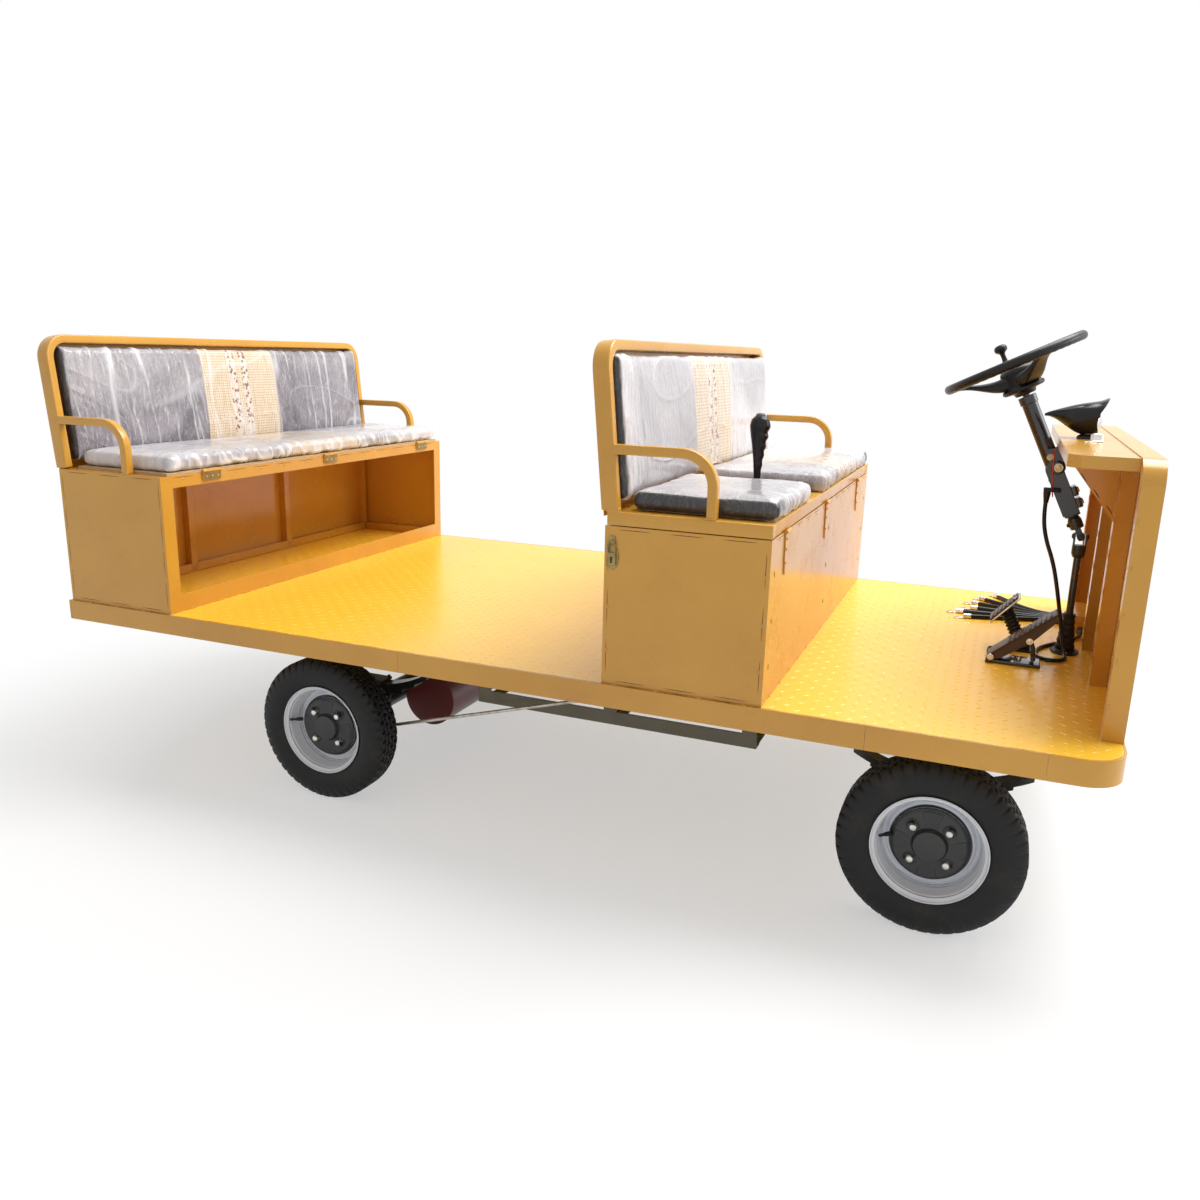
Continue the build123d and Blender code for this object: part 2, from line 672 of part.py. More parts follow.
# Wheels: rim, tyre and a hub with its drum and cover
stub_end = track_half + 12
hub_face = track_half + 8
rim_disc = 4
case_side = 45
case_width = 85
with BuildPart() as rear_axle:
    with Locations(Location((rear_x, 0, hub_height), (90, 0, 0))):
        Cylinder(38, 2 * 536)
        Cylinder(spindle_radius, 2 * (stub_end - 2))
    with BuildSketch(Plane.XZ.offset(-case_side - case_width)) as gear_case:
        with Locations((rear_x, hub_height)):
            Circle(96)
        with Locations((fore(985), hub_height)):
            Circle(84)
        make_hull()
    extrude(amount=case_width)
    for side in (-1, 1):
        with Locations(Location((rear_x, side * 536, hub_height), (90, 0, 0))):
            Cylinder(100, 8)
save(rear_axle.part, "rear_axle")

with BuildPart() as drive_motor:
    with BuildSketch(Plane.XZ.offset(touch - case_side)):
        with Locations((fore(985), hub_height)):
            Circle(92)
    extrude(amount=290)
save(drive_motor.part, "drive_motor")

wheel_table = (
    # name, axle's X, side
    ("front_right", front_x, -1),
    ("front_left", front_x, 1),
    ("rear_right", rear_x, -1),
    ("rear_left", rear_x, 1),
)
half_rim = rim_width_wheel / 2
half_tyre = tyre_width / 2
drum_radius = 98
drum_back = track_half - 49
for name, wheel_x, side in wheel_table:
    centre = Vector(wheel_x, side * track_half, hub_height)
    placing = Location(Plane(origin=centre, x_dir=(1, 0, 0), z_dir=(0, side, 0)))
    with BuildPart() as rim:
        with BuildSketch(Plane.XZ):
            with BuildLine():
                Polyline((rim_radius, -half_rim), (rim_radius, -half_rim + 4), (bead_radius - touch, -half_rim + 8),
                         (bead_radius - 3, -18), (bead_radius - 14, -10), (bead_radius - 14, 10), (bead_radius - 3, 18),
                         (bead_radius - touch, half_rim - 8), (rim_radius, half_rim - 4), (rim_radius, half_rim),
                         (bead_radius - 4, half_rim), (bead_radius - 8, 20), (bead_radius - 19, 12),
                         (bead_radius - 19, 0), (37, 0), (37, -rim_disc), (bead_radius - 19, -rim_disc),
                         (bead_radius - 19, -12), (bead_radius - 8, -20), (bead_radius - 4, -half_rim), close=True)
            make_face()
        revolve(axis=Axis.Z)
    save(rim.part.moved(placing), "rim_" + name)

    with BuildPart() as tyre:
        with BuildSketch(Plane.XZ):
            with BuildLine():
                bead_half = half_rim - 9
                Polyline((bead_radius, -bead_half), (bead_radius, bead_half), (rim_radius + 1, half_rim - 5))
                ThreePointArc((rim_radius + 1, half_rim - 5), (rim_radius + 34, half_tyre), (tyre_radius - 12, 46))
                ThreePointArc((tyre_radius - 12, 46), (tyre_radius - 3, 40), (tyre_radius - 1, 34))
                Line((tyre_radius - 1, 34), (tyre_radius - 1, -34))
                ThreePointArc((tyre_radius - 1, -34), (tyre_radius - 3, -40), (tyre_radius - 12, -46))
                ThreePointArc((tyre_radius - 12, -46), (rim_radius + 34, -half_tyre), (rim_radius + 1, -half_rim + 5))
                Line((rim_radius + 1, -half_rim + 5), (bead_radius, -bead_half))
            make_face()
        revolve(axis=Axis.Z)
    save(tyre.part.moved(placing), "tyre_" + name)

    with BuildPart() as hub:
        with BuildSketch(Plane.XZ):
            with BuildLine():
                Polyline((spindle_radius + shaft_gap, -49), (drum_radius, -49), (drum_radius, -rim_disc - touch),
                         (36, -rim_disc - touch), (36, touch), (hub_radius, touch), (hub_radius, 6), (hub_radius - 6, 10),
                         (44, 12), (38, 24), (0, 26), (0, 14), (spindle_radius + shaft_gap, 14), close=True)
            make_face()
        revolve(axis=Axis.Z)
        with Locations((0, 0, 14)):
            with PolarLocations(lug_circle, 4, start_angle=45):
                Cylinder(9, 20)
    save(hub.part.moved(placing), "hub_" + name)

# Leaf springs: arched packs seated on the axles, clipped to them, hung from the rails
arch_reach = 270
arch_rise = 92
arch_radius = (arch_reach ** 2 + arch_rise ** 2) / (2 * arch_rise)
seat_z = hub_height + beam / 2 + 13
arch_centre = seat_z + touch + arch_radius + leaf_count * leaf_thick
eye_z = arch_centre - sqrt(arch_radius ** 2 - arch_reach ** 2)
spring_eye = 15
hanger_pin = 9
with BuildPart() as leaf_springs:
    for axle_x in (front_x, rear_x):
        for side in (-1, 1):
            with BuildSketch(Plane.XZ.offset(-side * spring_half - spring_width / 2)) as pack:
                for leaf in range(leaf_count):
                    with BuildSketch(mode=Mode.ADD):
                        with Locations((axle_x, arch_centre)):
                            Circle(arch_radius + (leaf + 1) * leaf_thick)
                            Circle(arch_radius + leaf * leaf_thick, mode=Mode.SUBTRACT)
                        with Locations((axle_x, arch_centre - arch_radius / 2 - 150)):
                            Rectangle(2 * (arch_reach - leaf * 46), arch_radius + 500, mode=Mode.INTERSECT)
                        with Locations((axle_x, arch_centre + arch_radius / 2)):
                            Rectangle(2 * arch_radius + 200, arch_radius + 400, mode=Mode.SUBTRACT)
                with Locations((axle_x - arch_reach, eye_z + 5), (axle_x + arch_reach, eye_z + 5)):
                    Circle(spring_eye)
                    Circle(hanger_pin + shaft_gap, mode=Mode.SUBTRACT)
            extrude(amount=spring_width)
save(leaf_springs.part, "leaf_springs")

with BuildPart() as spring_hangers:
    for axle_x in (front_x, rear_x):
        for side in (-1, 1):
            for end in (-1, 1):
                x = axle_x + end * arch_reach
                y0 = spring_half - spring_width / 2 - 6
                y1 = spring_half + spring_width / 2 + 6
                block(x - 26, x + 26, side * y0, side * y1, rail_under - 8, rail_under)
                for y in (y0, y1 - 5):
                    block(x - 20, x + 20, side * y, side * (y + 5), eye_z - 16, rail_under - 4)
                with Locations(Location((x, side * spring_half, eye_z + 5), (90, 0, 0))):
                    Cylinder(hanger_pin, y1 - y0)

pack_top = arch_centre - arch_radius
with BuildPart() as spring_clips:
    for axle_x, clear, under in ((front_x, 31, hub_height - beam / 2), (rear_x, 45, hub_height - 38)):
        plate_low = pack_top + (clear + 8) ** 2 / arch_radius / 2 + touch
        for side in (-1, 1):
            block(axle_x - clear - 8, axle_x + clear + 8, side * (spring_half - 36), side * (spring_half + 36),
                  plate_low, plate_low + 8)
            block(axle_x - clear - 8, axle_x + clear + 8, side * (spring_half - 36), side * (spring_half + 36),
                  under - 8.3, under - touch)
            with Locations([(axle_x + a * clear, side * spring_half + b * 31, (pack_top + under) / 2)
                            for a in (-1, 1) for b in (-1, 1)]):
                Cylinder(5, pack_top - under + 34)
save(spring_hangers.part + spring_clips.part, "spring_mountings")

# Brake rods along the sides, from levers at the rear backing plates to hangers on the frame
rod_side = 508
rod_low = (985, -352)
rod_high = (rack_posts[1], -140)
with BuildPart() as brake_rods:
    for side in (-1, 1):
        start = Vector(fore(rod_low[0]), side * rod_side, up(rod_low[1]))
        end = Vector(fore(rod_high[0]), side * rod_side, up(rod_high[1]))
        with BuildSketch(Plane(origin=start, z_dir=end - start)):
            Circle(5)
        extrude(amount=(end - start).length)
        block(start.X - 90, start.X + 12, side * (rod_side + 4), side * (rod_side + 12), start.Z - 14, start.Z + 14)
        block(start.X - 90, start.X - 66, side * (rod_side + 4), side * (532 - touch), start.Z - 12, start.Z + 12)
        block(end.X - 14, end.X + 14, side * (rod_side + 3), side * (rod_side + 11), end.Z - 16, plate_under - outrigger_depth)
save(brake_rods.part, "brake_rods")

# Pedals on the deck
treadle_heel = Vector(fore(2708), -100, up(18))
treadle_slope = 40
with BuildPart() as accelerator:
    block(treadle_heel.X - 8, treadle_heel.X + 128, -136, -64, deck_height, up(8))
    for y in (-136, -70):
        block(treadle_heel.X - 8, treadle_heel.X + 12, y, y + 6, up(8), up(26))
    with BuildSketch(Plane(origin=treadle_heel, x_dir=(cos(radians(treadle_slope)), 0, sin(radians(treadle_slope))),
                           z_dir=(0, -1, 0)).offset(-34)):
        with Locations((100, 4)):
            Rectangle(212, 10)
    extrude(amount=68)
    with BuildSketch(Plane.XZ.offset(88)):
        with BuildLine():
            Polyline((treadle_heel.X + 100, up(6)), (treadle_heel.X + 120, up(6)), (treadle_heel.X + 118, up(100)),
                     (treadle_heel.X + 92, up(94)), close=True)
        make_face()
    extrude(amount=24)

with BuildPart() as brake_pedal:
    pad = Plane(origin=(fore(2734), 45, up(118)), x_dir=(cos(radians(48)), 0, sin(radians(48))), z_dir=(0, -1, 0))
    with BuildSketch(pad.offset(-38)):
        Rectangle(106, 8)
    extrude(amount=76)
    with BuildSketch(Plane(origin=(fore(2738), 45, up(112)), z_dir=(70, 0, -104))):
        Circle(17)
    extrude(amount=112)
    block(fore(2770), fore(2840), 15, 75, deck_height, up(22))
save(accelerator.part + brake_pedal.part, "pedals")

# Instrument pod and key switch on the shelf
with BuildPart() as instrument_pod:
    with BuildSketch(Plane.XZ.offset(85)):
        with BuildLine():
            Polyline((fore(2770), shelf_top + 46), (fore(2800), shelf_top + 72), (fore(2905), shelf_top + 92),
                     (fore(2888), shelf_top + 40), (fore(2884), shelf_top + touch), (fore(2862), shelf_top + touch),
                     (fore(2850), shelf_top + 20), close=True)
        make_face()
    extrude(amount=-110)

with BuildPart() as key_switch:
    with BuildSketch(Plane.XY.offset(shelf_top)):
        with Locations((fore(2898), -128)):
            Circle(14)
    extrude(amount=30)
save(instrument_pod.part + key_switch.part, "dash_instruments")

print(len(written), "nodes")
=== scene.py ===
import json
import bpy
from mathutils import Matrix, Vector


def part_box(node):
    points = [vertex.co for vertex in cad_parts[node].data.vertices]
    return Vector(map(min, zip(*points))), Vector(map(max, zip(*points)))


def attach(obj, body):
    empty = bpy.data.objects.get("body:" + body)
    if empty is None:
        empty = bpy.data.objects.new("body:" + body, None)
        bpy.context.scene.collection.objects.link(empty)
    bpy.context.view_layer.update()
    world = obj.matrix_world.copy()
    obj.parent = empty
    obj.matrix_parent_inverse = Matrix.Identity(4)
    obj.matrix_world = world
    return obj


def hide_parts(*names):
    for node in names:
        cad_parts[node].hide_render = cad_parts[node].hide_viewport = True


bl_info = {
    "name": "Electric platform truck", "version": (1, 0, 0), "blender": (4, 5, 0),
    "location": "3D View > Sidebar > Truck",
    "description": "Dresses the truck's solids with paint, cushions in clear film, tyres and small fittings",
    "category": "Object",
}

import bmesh
import bpy
import numpy as np
from mathutils import Matrix, Vector

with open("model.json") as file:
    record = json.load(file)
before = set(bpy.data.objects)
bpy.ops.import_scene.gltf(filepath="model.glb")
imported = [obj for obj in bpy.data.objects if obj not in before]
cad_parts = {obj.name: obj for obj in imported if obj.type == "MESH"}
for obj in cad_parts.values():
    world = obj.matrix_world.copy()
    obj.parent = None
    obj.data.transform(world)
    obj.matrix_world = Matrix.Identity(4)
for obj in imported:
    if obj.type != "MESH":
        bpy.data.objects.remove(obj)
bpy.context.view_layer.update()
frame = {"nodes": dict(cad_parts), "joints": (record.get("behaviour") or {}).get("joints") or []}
NODES = frame["nodes"]
WHEELS = ("front_right", "front_left", "rear_right", "rear_left")


# Numbers that several pieces share, in metres

def span(node):
    """Lowest and highest corner of a solid as two numpy rows."""
    low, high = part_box(node)
    return np.array(low), np.array(high)


DECK_TOP = float(span("deck_plate")[1][2])
DECK_REAR = float(span("deck_lips")[0][0])


# Noise worked out on whole arrays

def lattice(i, j, seed):
    """Repeatable pseudo-random value from 0 to 1 for each pair of whole numbers."""
    n = (i * 374761393 + j * 668265263 + seed * 974711) & 0x7FFFFFFF
    n = ((n ^ (n >> 13)) * 1274126177) & 0x7FFFFFFF
    return ((n ^ (n >> 16)) & 0xFFFF) / 65535.0


def noise(u, v, seed=0):
    """Smooth value noise: four lattice values blended by s = t*t*(3 - 2*t) in each direction."""
    i, j = np.floor(u).astype(np.int64), np.floor(v).astype(np.int64)
    s, t = u - i, v - j
    s, t = s * s * (3 - 2 * s), t * t * (3 - 2 * t)
    low = lattice(i, j, seed) * (1 - s) + lattice(i + 1, j, seed) * s
    high = lattice(i, j + 1, seed) * (1 - s) + lattice(i + 1, j + 1, seed) * s
    return low * (1 - t) + high * t


def fold(u, v, seed=0):
    """Sharp crests: 1 - |2*noise - 1|, squared."""
    return (1 - np.abs(2 * noise(u, v, seed) - 1)) ** 2


def ramp(x, low, high):
    """Smooth step from 0 at low to 1 at high."""
    t = np.clip((x - low) / (high - low), 0, 1)
    return t * t * (3 - 2 * t)


# Meshes

def new_mesh(name, verts, faces, smooth=True):
    """An object at the origin from rows of points and of corner numbers."""
    mesh = bpy.data.meshes.new(name)
    mesh.from_pydata(np.asarray(verts, float).reshape(-1, 3).tolist(), [], [list(map(int, f)) for f in faces])
    mesh.polygons.foreach_set("use_smooth", [smooth] * len(mesh.polygons))
    mesh.update()
    piece = bpy.data.objects.new(name, mesh)
    bpy.context.collection.objects.link(piece)
    return piece


def grid_faces(rows, columns, wrap_rows=False, wrap_columns=False):
    """Corner numbers of the quads of a grid of points that is rows by columns."""
    r = np.arange(rows if wrap_rows else rows - 1)[:, None]
    c = np.arange(columns if wrap_columns else columns - 1)[None, :]
    r2, c2 = (r + 1) % rows, (c + 1) % columns
    return np.stack([r * columns + c, r2 * columns + c, r2 * columns + c2, r * columns + c2], -1).reshape(-1, 4)


def grid_piece(name, points, wrap_rows=False, wrap_columns=False, caps=False):
    """A surface through a rows by columns array of points; caps close the first and the last row."""
    rows, columns = points.shape[:2]
    faces = grid_faces(rows, columns, wrap_rows, wrap_columns).tolist()
    if caps:
        faces += [list(range(columns))[::-1], list(range((rows - 1) * columns, rows * columns))]
    return new_mesh(name, points, faces)


def joined(name, parts):
    """One piece from several lists of (points, faces)."""
    verts, faces, start = [], [], 0
    for points, quads in parts:
        points = np.asarray(points, float).reshape(-1, 3)
        verts.append(points)
        faces += [[int(k) + start for k in quad] for quad in quads]
        start += len(points)
    return new_mesh(name, np.concatenate(verts), faces)


def lathe(profile, centre, axis, steps=64):
    """Points of a profile of (radius, distance along the axis) turned about the axis through a centre, and faces."""
    axis = Vector(axis).normalized()
    side = axis.orthogonal().normalized()
    other = axis.cross(side)
    turn = np.linspace(0, 2 * np.pi, steps, endpoint=False)
    profile = np.asarray(profile, float)
    ring = np.cos(turn)[:, None] * np.array(side) + np.sin(turn)[:, None] * np.array(other)
    points = (np.array(centre)[None, None] + profile[:, 0][:, None, None] * ring[None]
        + profile[:, 1][:, None, None] * np.array(axis)[None, None])
    rows = len(profile)
    faces = grid_faces(rows, steps, wrap_columns=True)[:, ::-1].tolist()
    if profile[0, 0] > 1e-6:
        faces.append(list(range(steps)))
    if profile[-1, 0] > 1e-6:
        faces.append(list(range((rows - 1) * steps, rows * steps))[::-1])
    return points.reshape(-1, 3), faces


def smooth_profile(corners, radius=0.003, steps=4):
    """Rounds the corners of a line of (radius, outward): each corner becomes a quadratic curve between two cut
    points."""
    corners = np.asarray(corners, float)
    out = [corners[0]]
    for before, here, after in zip(corners[:-2], corners[1:-1], corners[2:]):
        a, b = before - here, after - here
        reach = min(radius, np.hypot(*a) * 0.45, np.hypot(*b) * 0.45)
        p, q = here + a / max(np.hypot(*a), 1e-9) * reach, here + b / max(np.hypot(*b), 1e-9) * reach
        for t in np.linspace(0, 1, steps):
            out.append((1 - t) ** 2 * p + 2 * t * (1 - t) * here + t * t * q)
    out.append(corners[-1])
    return np.array(out)


def turned(corners, radius, centre, axis, steps=64):
    """A lathe part whose profile has rounded corners."""
    return lathe(smooth_profile(corners, radius), centre, axis, steps)


def rounded_block(low, high, radius=0.002, steps=2):
    """A box with rounded edges: each grid point of a cube is pulled to a sphere of the radius round an inner box."""
    low, high = np.array(low, float), np.array(high, float)
    radius = min(radius, (high - low).min() / 2 * 0.98)
    n = 2 * steps + 2
    side = np.concatenate([np.linspace(-1, 0, steps + 1), np.linspace(0, 1, steps + 1)])
    verts, faces = [], []
    for axis in range(3):
        for sign in (-1, 1):
            a, b = [k for k in range(3) if k != axis]
            u, v = np.meshgrid(side, side, indexing="ij")
            cell = np.zeros((n, n, 3))
            cell[..., a], cell[..., b], cell[..., axis] = u, v, sign
            ball = cell / np.linalg.norm(cell, axis=-1, keepdims=True)
            inner = np.empty_like(cell)
            for k, grid in ((a, np.arange(n)[:, None] > steps), (b, np.arange(n)[None, :] > steps)):
                inner[..., k] = np.where(np.broadcast_to(grid, (n, n)), high[k] - radius, low[k] + radius)
            inner[..., axis] = high[axis] - radius if sign > 0 else low[axis] + radius
            quads = grid_faces(n, n)
            if (sign > 0) == (axis == 1):
                quads = quads[:, ::-1]
            faces.append(quads + sum(len(x) for x in verts))
            verts.append((inner + ball * radius).reshape(-1, 3))
    return np.concatenate(verts), np.concatenate(faces).tolist()


def tidy(piece, distance=1e-5):
    """Merges doubled points and turns the faces outwards."""
    bm = bmesh.new()
    bm.from_mesh(piece.data)
    bmesh.ops.remove_doubles(bm, verts=bm.verts, dist=distance)
    bmesh.ops.recalc_face_normals(bm, faces=bm.faces)
    bm.to_mesh(piece.data)
    bm.free()
    piece.data.update()
    return piece


def finish_piece(piece, body, slot, material, *nodes):
    """Gives a piece its body and its finish, and hides the solids that it stands for; slot is not used."""
    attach(piece, body)
    piece.data.materials.clear()
    piece.data.materials.append(material)
    piece.data.set_sharp_from_angle(angle=0.65)
    if nodes:
        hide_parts(*nodes)
    return piece


def fore(distance):
    """X of a place measured forward from the deck's rear edge."""
    return DECK_REAR + distance


def up(height):
    """Z of a place measured up from the deck's top."""
    return DECK_TOP + height


def unit(vector):
    """Vectors scaled to length 1."""
    vector = np.asarray(vector, float)
    return vector / np.linalg.norm(vector, axis=-1, keepdims=True)


def loft(rows, caps=True):
    """Points and faces of a skin through closed rings of points, first and last ring closed."""
    rows = np.asarray(rows, float)
    count, around = rows.shape[:2]
    faces = grid_faces(count, around, wrap_columns=True).tolist()
    if caps:
        faces += [list(range(around))[::-1], list(range((count - 1) * around, count * around))]
    return rows.reshape(-1, 3), faces


def ring(around, power=2.0):
    """Superellipse of size 1: cosine and sine, each to the power of 2/power, with their signs."""
    turn = np.linspace(0, 2 * np.pi, around, endpoint=False)
    c, s = np.cos(turn), np.sin(turn)
    return np.sign(c) * np.abs(c) ** (2 / power), np.sign(s) * np.abs(s) ** (2 / power)


def bar(path, radius, around=12, closed=False, flat=1.0, first=(0, 0, 1), power=2.0):
    """A bar along a path: each point's ring lies square to the path, turned from the ring before it as little as
    possible. flat scales the second direction; the ends are domed by two shrinking rings."""
    path = np.asarray(path, float)
    radius = np.broadcast_to(np.asarray(radius, float), (len(path),)).copy()
    if not closed:
        a, b = unit(path[0] - path[1]), unit(path[-1] - path[-2])
        path = np.concatenate([[path[0] + a * radius[0] * 0.35], path, [path[-1] + b * radius[-1] * 0.35]])
        radius = np.concatenate([[radius[0] * 0.6], radius, [radius[-1] * 0.6]])
        ahead = np.gradient(path, axis=0)
    else:
        ahead = np.roll(path, -1, 0) - np.roll(path, 1, 0)
    ahead = unit(ahead)
    side = np.empty_like(path)
    guess = np.array(first, float)
    if abs(guess @ ahead[0]) > 0.93:
        guess = np.array((0.3, 1.0, 0.2))
    for k, direction in enumerate(ahead):
        guess = guess - direction * (guess @ direction)
        side[k] = guess = guess / np.linalg.norm(guess)
    other = np.cross(ahead, side)
    c, s = ring(around, power)
    rows = (path[:, None] + radius[:, None, None] * (c[None, :, None] * side[:, None] * flat
        + s[None, :, None] * other[:, None]))
    if closed:
        return rows.reshape(-1, 3), grid_faces(len(path), around, True, True).tolist()
    return loft(rows)


def bend(points, steps=8):
    """A line that rounds each corner: quadratic curves between the middles of the runs."""
    points = np.asarray(points, float)
    middles = (points[1:] + points[:-1]) / 2
    out = [points[:1]]
    for a, b, c in zip(middles[:-1], points[1:-1], middles[1:]):
        t = np.linspace(0, 1, steps)[:, None]
        out.append((1 - t) ** 2 * a + 2 * t * (1 - t) * b + t * t * c)
    out.append(points[-1:])
    return np.concatenate(out)


def plate(outline, low, high, axis, edge=0.001):
    """A flat plate: its outline of two coordinates carried along an axis, with the rims drawn in by the edge."""
    outline = np.asarray(outline, float)
    before, after = outline - np.roll(outline, 1, 0), np.roll(outline, -1, 0) - outline
    area = 0.5 * np.sum(outline[:, 0] * np.roll(outline[:, 1], -1) - outline[:, 1] * np.roll(outline[:, 0], -1))
    normal = unit(unit(before) + unit(after))
    inward = np.stack([-normal[:, 1], normal[:, 0]], 1) * np.sign(area)
    rows = []
    for place, shrink in ((low, edge), (low + edge, 0.0), (high - edge, 0.0), (high, edge)):
        flat_ring = outline + inward * shrink
        rows.append(np.insert(flat_ring, axis, place, axis=1))
    return loft(rows)


def rounded_outline(corners, radius, steps=4):
    """A closed outline with each corner replaced by a quadratic curve."""
    corners = np.asarray(corners, float)
    out = []
    for before, here, after in zip(np.roll(corners, 1, 0), corners, np.roll(corners, -1, 0)):
        a, b = before - here, after - here
        cut = min(radius, np.hypot(*a) * 0.45, np.hypot(*b) * 0.45)
        p, q = here + unit(a) * cut, here + unit(b) * cut
        t = np.linspace(0, 1, steps)[:, None]
        out.append((1 - t) ** 2 * p + 2 * t * (1 - t) * here + t * t * q)
    return np.concatenate(out)


def placed(part, origin, x_axis, y_axis, z_axis):
    """A part's points read along three axes from an origin."""
    points, faces = part
    basis = np.stack([np.asarray(x_axis, float), np.asarray(y_axis, float), np.asarray(z_axis, float)])
    return np.asarray(points, float) @ basis + np.asarray(origin, float), faces


def repeated(part, places, along, normal):
    """Copies of one small part, its X along one direction and its Z along a normal, at many places at once."""
    points, faces = part
    points, places = np.asarray(points, float), np.asarray(places, float)
    x = np.broadcast_to(unit(along), places.shape)
    z = np.broadcast_to(unit(normal), places.shape)
    basis = np.stack([x, np.cross(z, x), z], 1)
    out = np.einsum("pk,nkj->npj", points, basis) + places[:, None]
    faces = [np.array(face) for face in faces]
    steps = np.arange(len(places)) * len(points)
    return out.reshape(-1, 3), [(face + step).tolist() for step in steps for face in faces]


def weld_tack(length=0.014, width=0.005, height=0.0016):
    """A short weld bead: half an ellipsoid, its rim on the sheet."""
    turn = np.linspace(0, 2 * np.pi, 10, endpoint=False)
    rows = [np.stack([np.cos(turn) * length / 2 * np.cos(a), np.sin(turn) * width / 2 * np.cos(a),
        0 * turn + height * np.sin(a) - 0.0002], 1) for a in (0.0, 0.5, 1.05, 1.5)]
    return loft(rows)


def bolt(place, direction, radius=0.006, height=0.0045, washer=True):
    """A hexagon head with a chamfered top on its washer, as a list of parts."""
    direction = unit(direction)
    parts = [lathe([(0.0, height), (radius * 0.78, height), (radius, height * 0.78), (radius, 0.0)], place, direction,
        6)]
    if washer:
        parts.append(lathe([(0.0, 0.0014), (radius * 1.45, 0.0014), (radius * 1.5, 0.0009), (radius * 1.5, 0.0)],
            place, direction, 20))
    return parts


def screw(place, direction, radius=0.004):
    """A low domed screw head with a dimple."""
    return lathe([(0.0, radius * 0.3), (radius * 0.25, radius * 0.32), (radius * 0.4, radius * 0.5),
        (radius * 0.8, radius * 0.38), (radius, radius * 0.1), (radius, 0.0)], place, unit(direction), 14)


# the record's slot that each finish is filed under
SLOTS = {
    "rack": "rack_steel", "tack": "paint", "stain_and_gap_shade": "paint", "paint": "paint", "brass": "zinc", "zinc": "zinc",
    "black": "black_paint", "gloss": "black_plastic", "grey_cap": "black_plastic", "wheel": "black_plastic",
    "enamel_black": "black_paint", "brass_bright": "zinc", "boot": "boot_rubber", "bright": "zinc", "tan": "paint",
    "cream": "boot_rubber", "red": "boot_rubber", "cord": "boot_rubber", "pedal": "black_paint", "hub": "hub_paint",
}


def build(name, parts, body, finish, *nodes, slot=None):
    """One finished piece from a list of parts."""
    return finish_piece(tidy(joined(name, parts)), body, slot or SLOTS[finish], MATERIALS[finish], *nodes)


# Finishes

def group(name, inputs, outputs):
    """An empty node group with named inputs (name, kind, default) and outputs (name, kind)."""
    tree = bpy.data.node_groups.new(name, "ShaderNodeTree")
    for label, kind, default in inputs:
        socket = tree.interface.new_socket(label, in_out="INPUT", socket_type=kind)
        if default is not None:
            socket.default_value = default
    for label, kind in outputs:
        tree.interface.new_socket(label, in_out="OUTPUT", socket_type=kind)
    return tree, tree.nodes.new("NodeGroupInput"), tree.nodes.new("NodeGroupOutput")


def node(tree, kind, links=(), **settings):
    """A new node with its settings and its links, given as (output socket, input name or number)."""
    made = tree.nodes.new(kind)
    for key, value in settings.items():
        setattr(made, key, value)
    for source, target in links:
        if hasattr(source, "is_output"):
            tree.links.new(source, made.inputs[target])
        else:
            made.inputs[target].default_value = source
    return made


def math(tree, operation, a, b=0.0, clamp=False):
    """Output of a math node on two sockets or numbers."""
    return node(tree, "ShaderNodeMath", [(a, 0), (b, 1)], operation=operation, use_clamp=clamp).outputs[0]


def mix(tree, factor, a, b):
    """Colour between two colours or sockets."""
    made = tree.nodes.new("ShaderNodeMix")
    made.data_type = "RGBA"
    for value, place in ((factor, 0), (a, 6), (b, 7)):
        if hasattr(value, "is_output"):
            tree.links.new(value, made.inputs[place])
        else:
            made.inputs[place].default_value = value
    return made.outputs[2]


def span_map(tree, value, low, high, to_low=0.0, to_high=1.0):
    """Output of a clamped map range node."""
    return node(tree, "ShaderNodeMapRange", [(value, 0), (low, 1), (high, 2), (to_low, 3), (to_high, 4)]).outputs[0]


def wear_group():
    """Edge Wear: 1 at convex edges, broken up by noise. The edge is where a rounded normal leaves the true one."""
    tree, enter, leave = group("Edge Wear", [("Radius", "NodeSocketFloat", 0.002), ("Scale", "NodeSocketFloat", 60.0)],
        [("Mask", "NodeSocketFloat")])
    bevel = node(tree, "ShaderNodeBevel", [(enter.outputs["Radius"], "Radius")], samples=4)
    geometry = tree.nodes.new("ShaderNodeNewGeometry")
    dot = node(tree, "ShaderNodeVectorMath", [(bevel.outputs[0], 0), (geometry.outputs["Normal"], 1)],
        operation="DOT_PRODUCT")
    place = tree.nodes.new("ShaderNodeTexCoord")
    grain = node(tree, "ShaderNodeTexNoise", [(place.outputs["Object"], "Vector"), (enter.outputs["Scale"], "Scale"),
        (3.0, "Detail")])
    edge = span_map(tree, dot.outputs["Value"], 0.985, 0.86)
    broken = span_map(tree, grain.outputs[0], 0.42, 0.62)
    tree.links.new(math(tree, "MULTIPLY", edge, broken, True), leave.inputs["Mask"])
    return tree


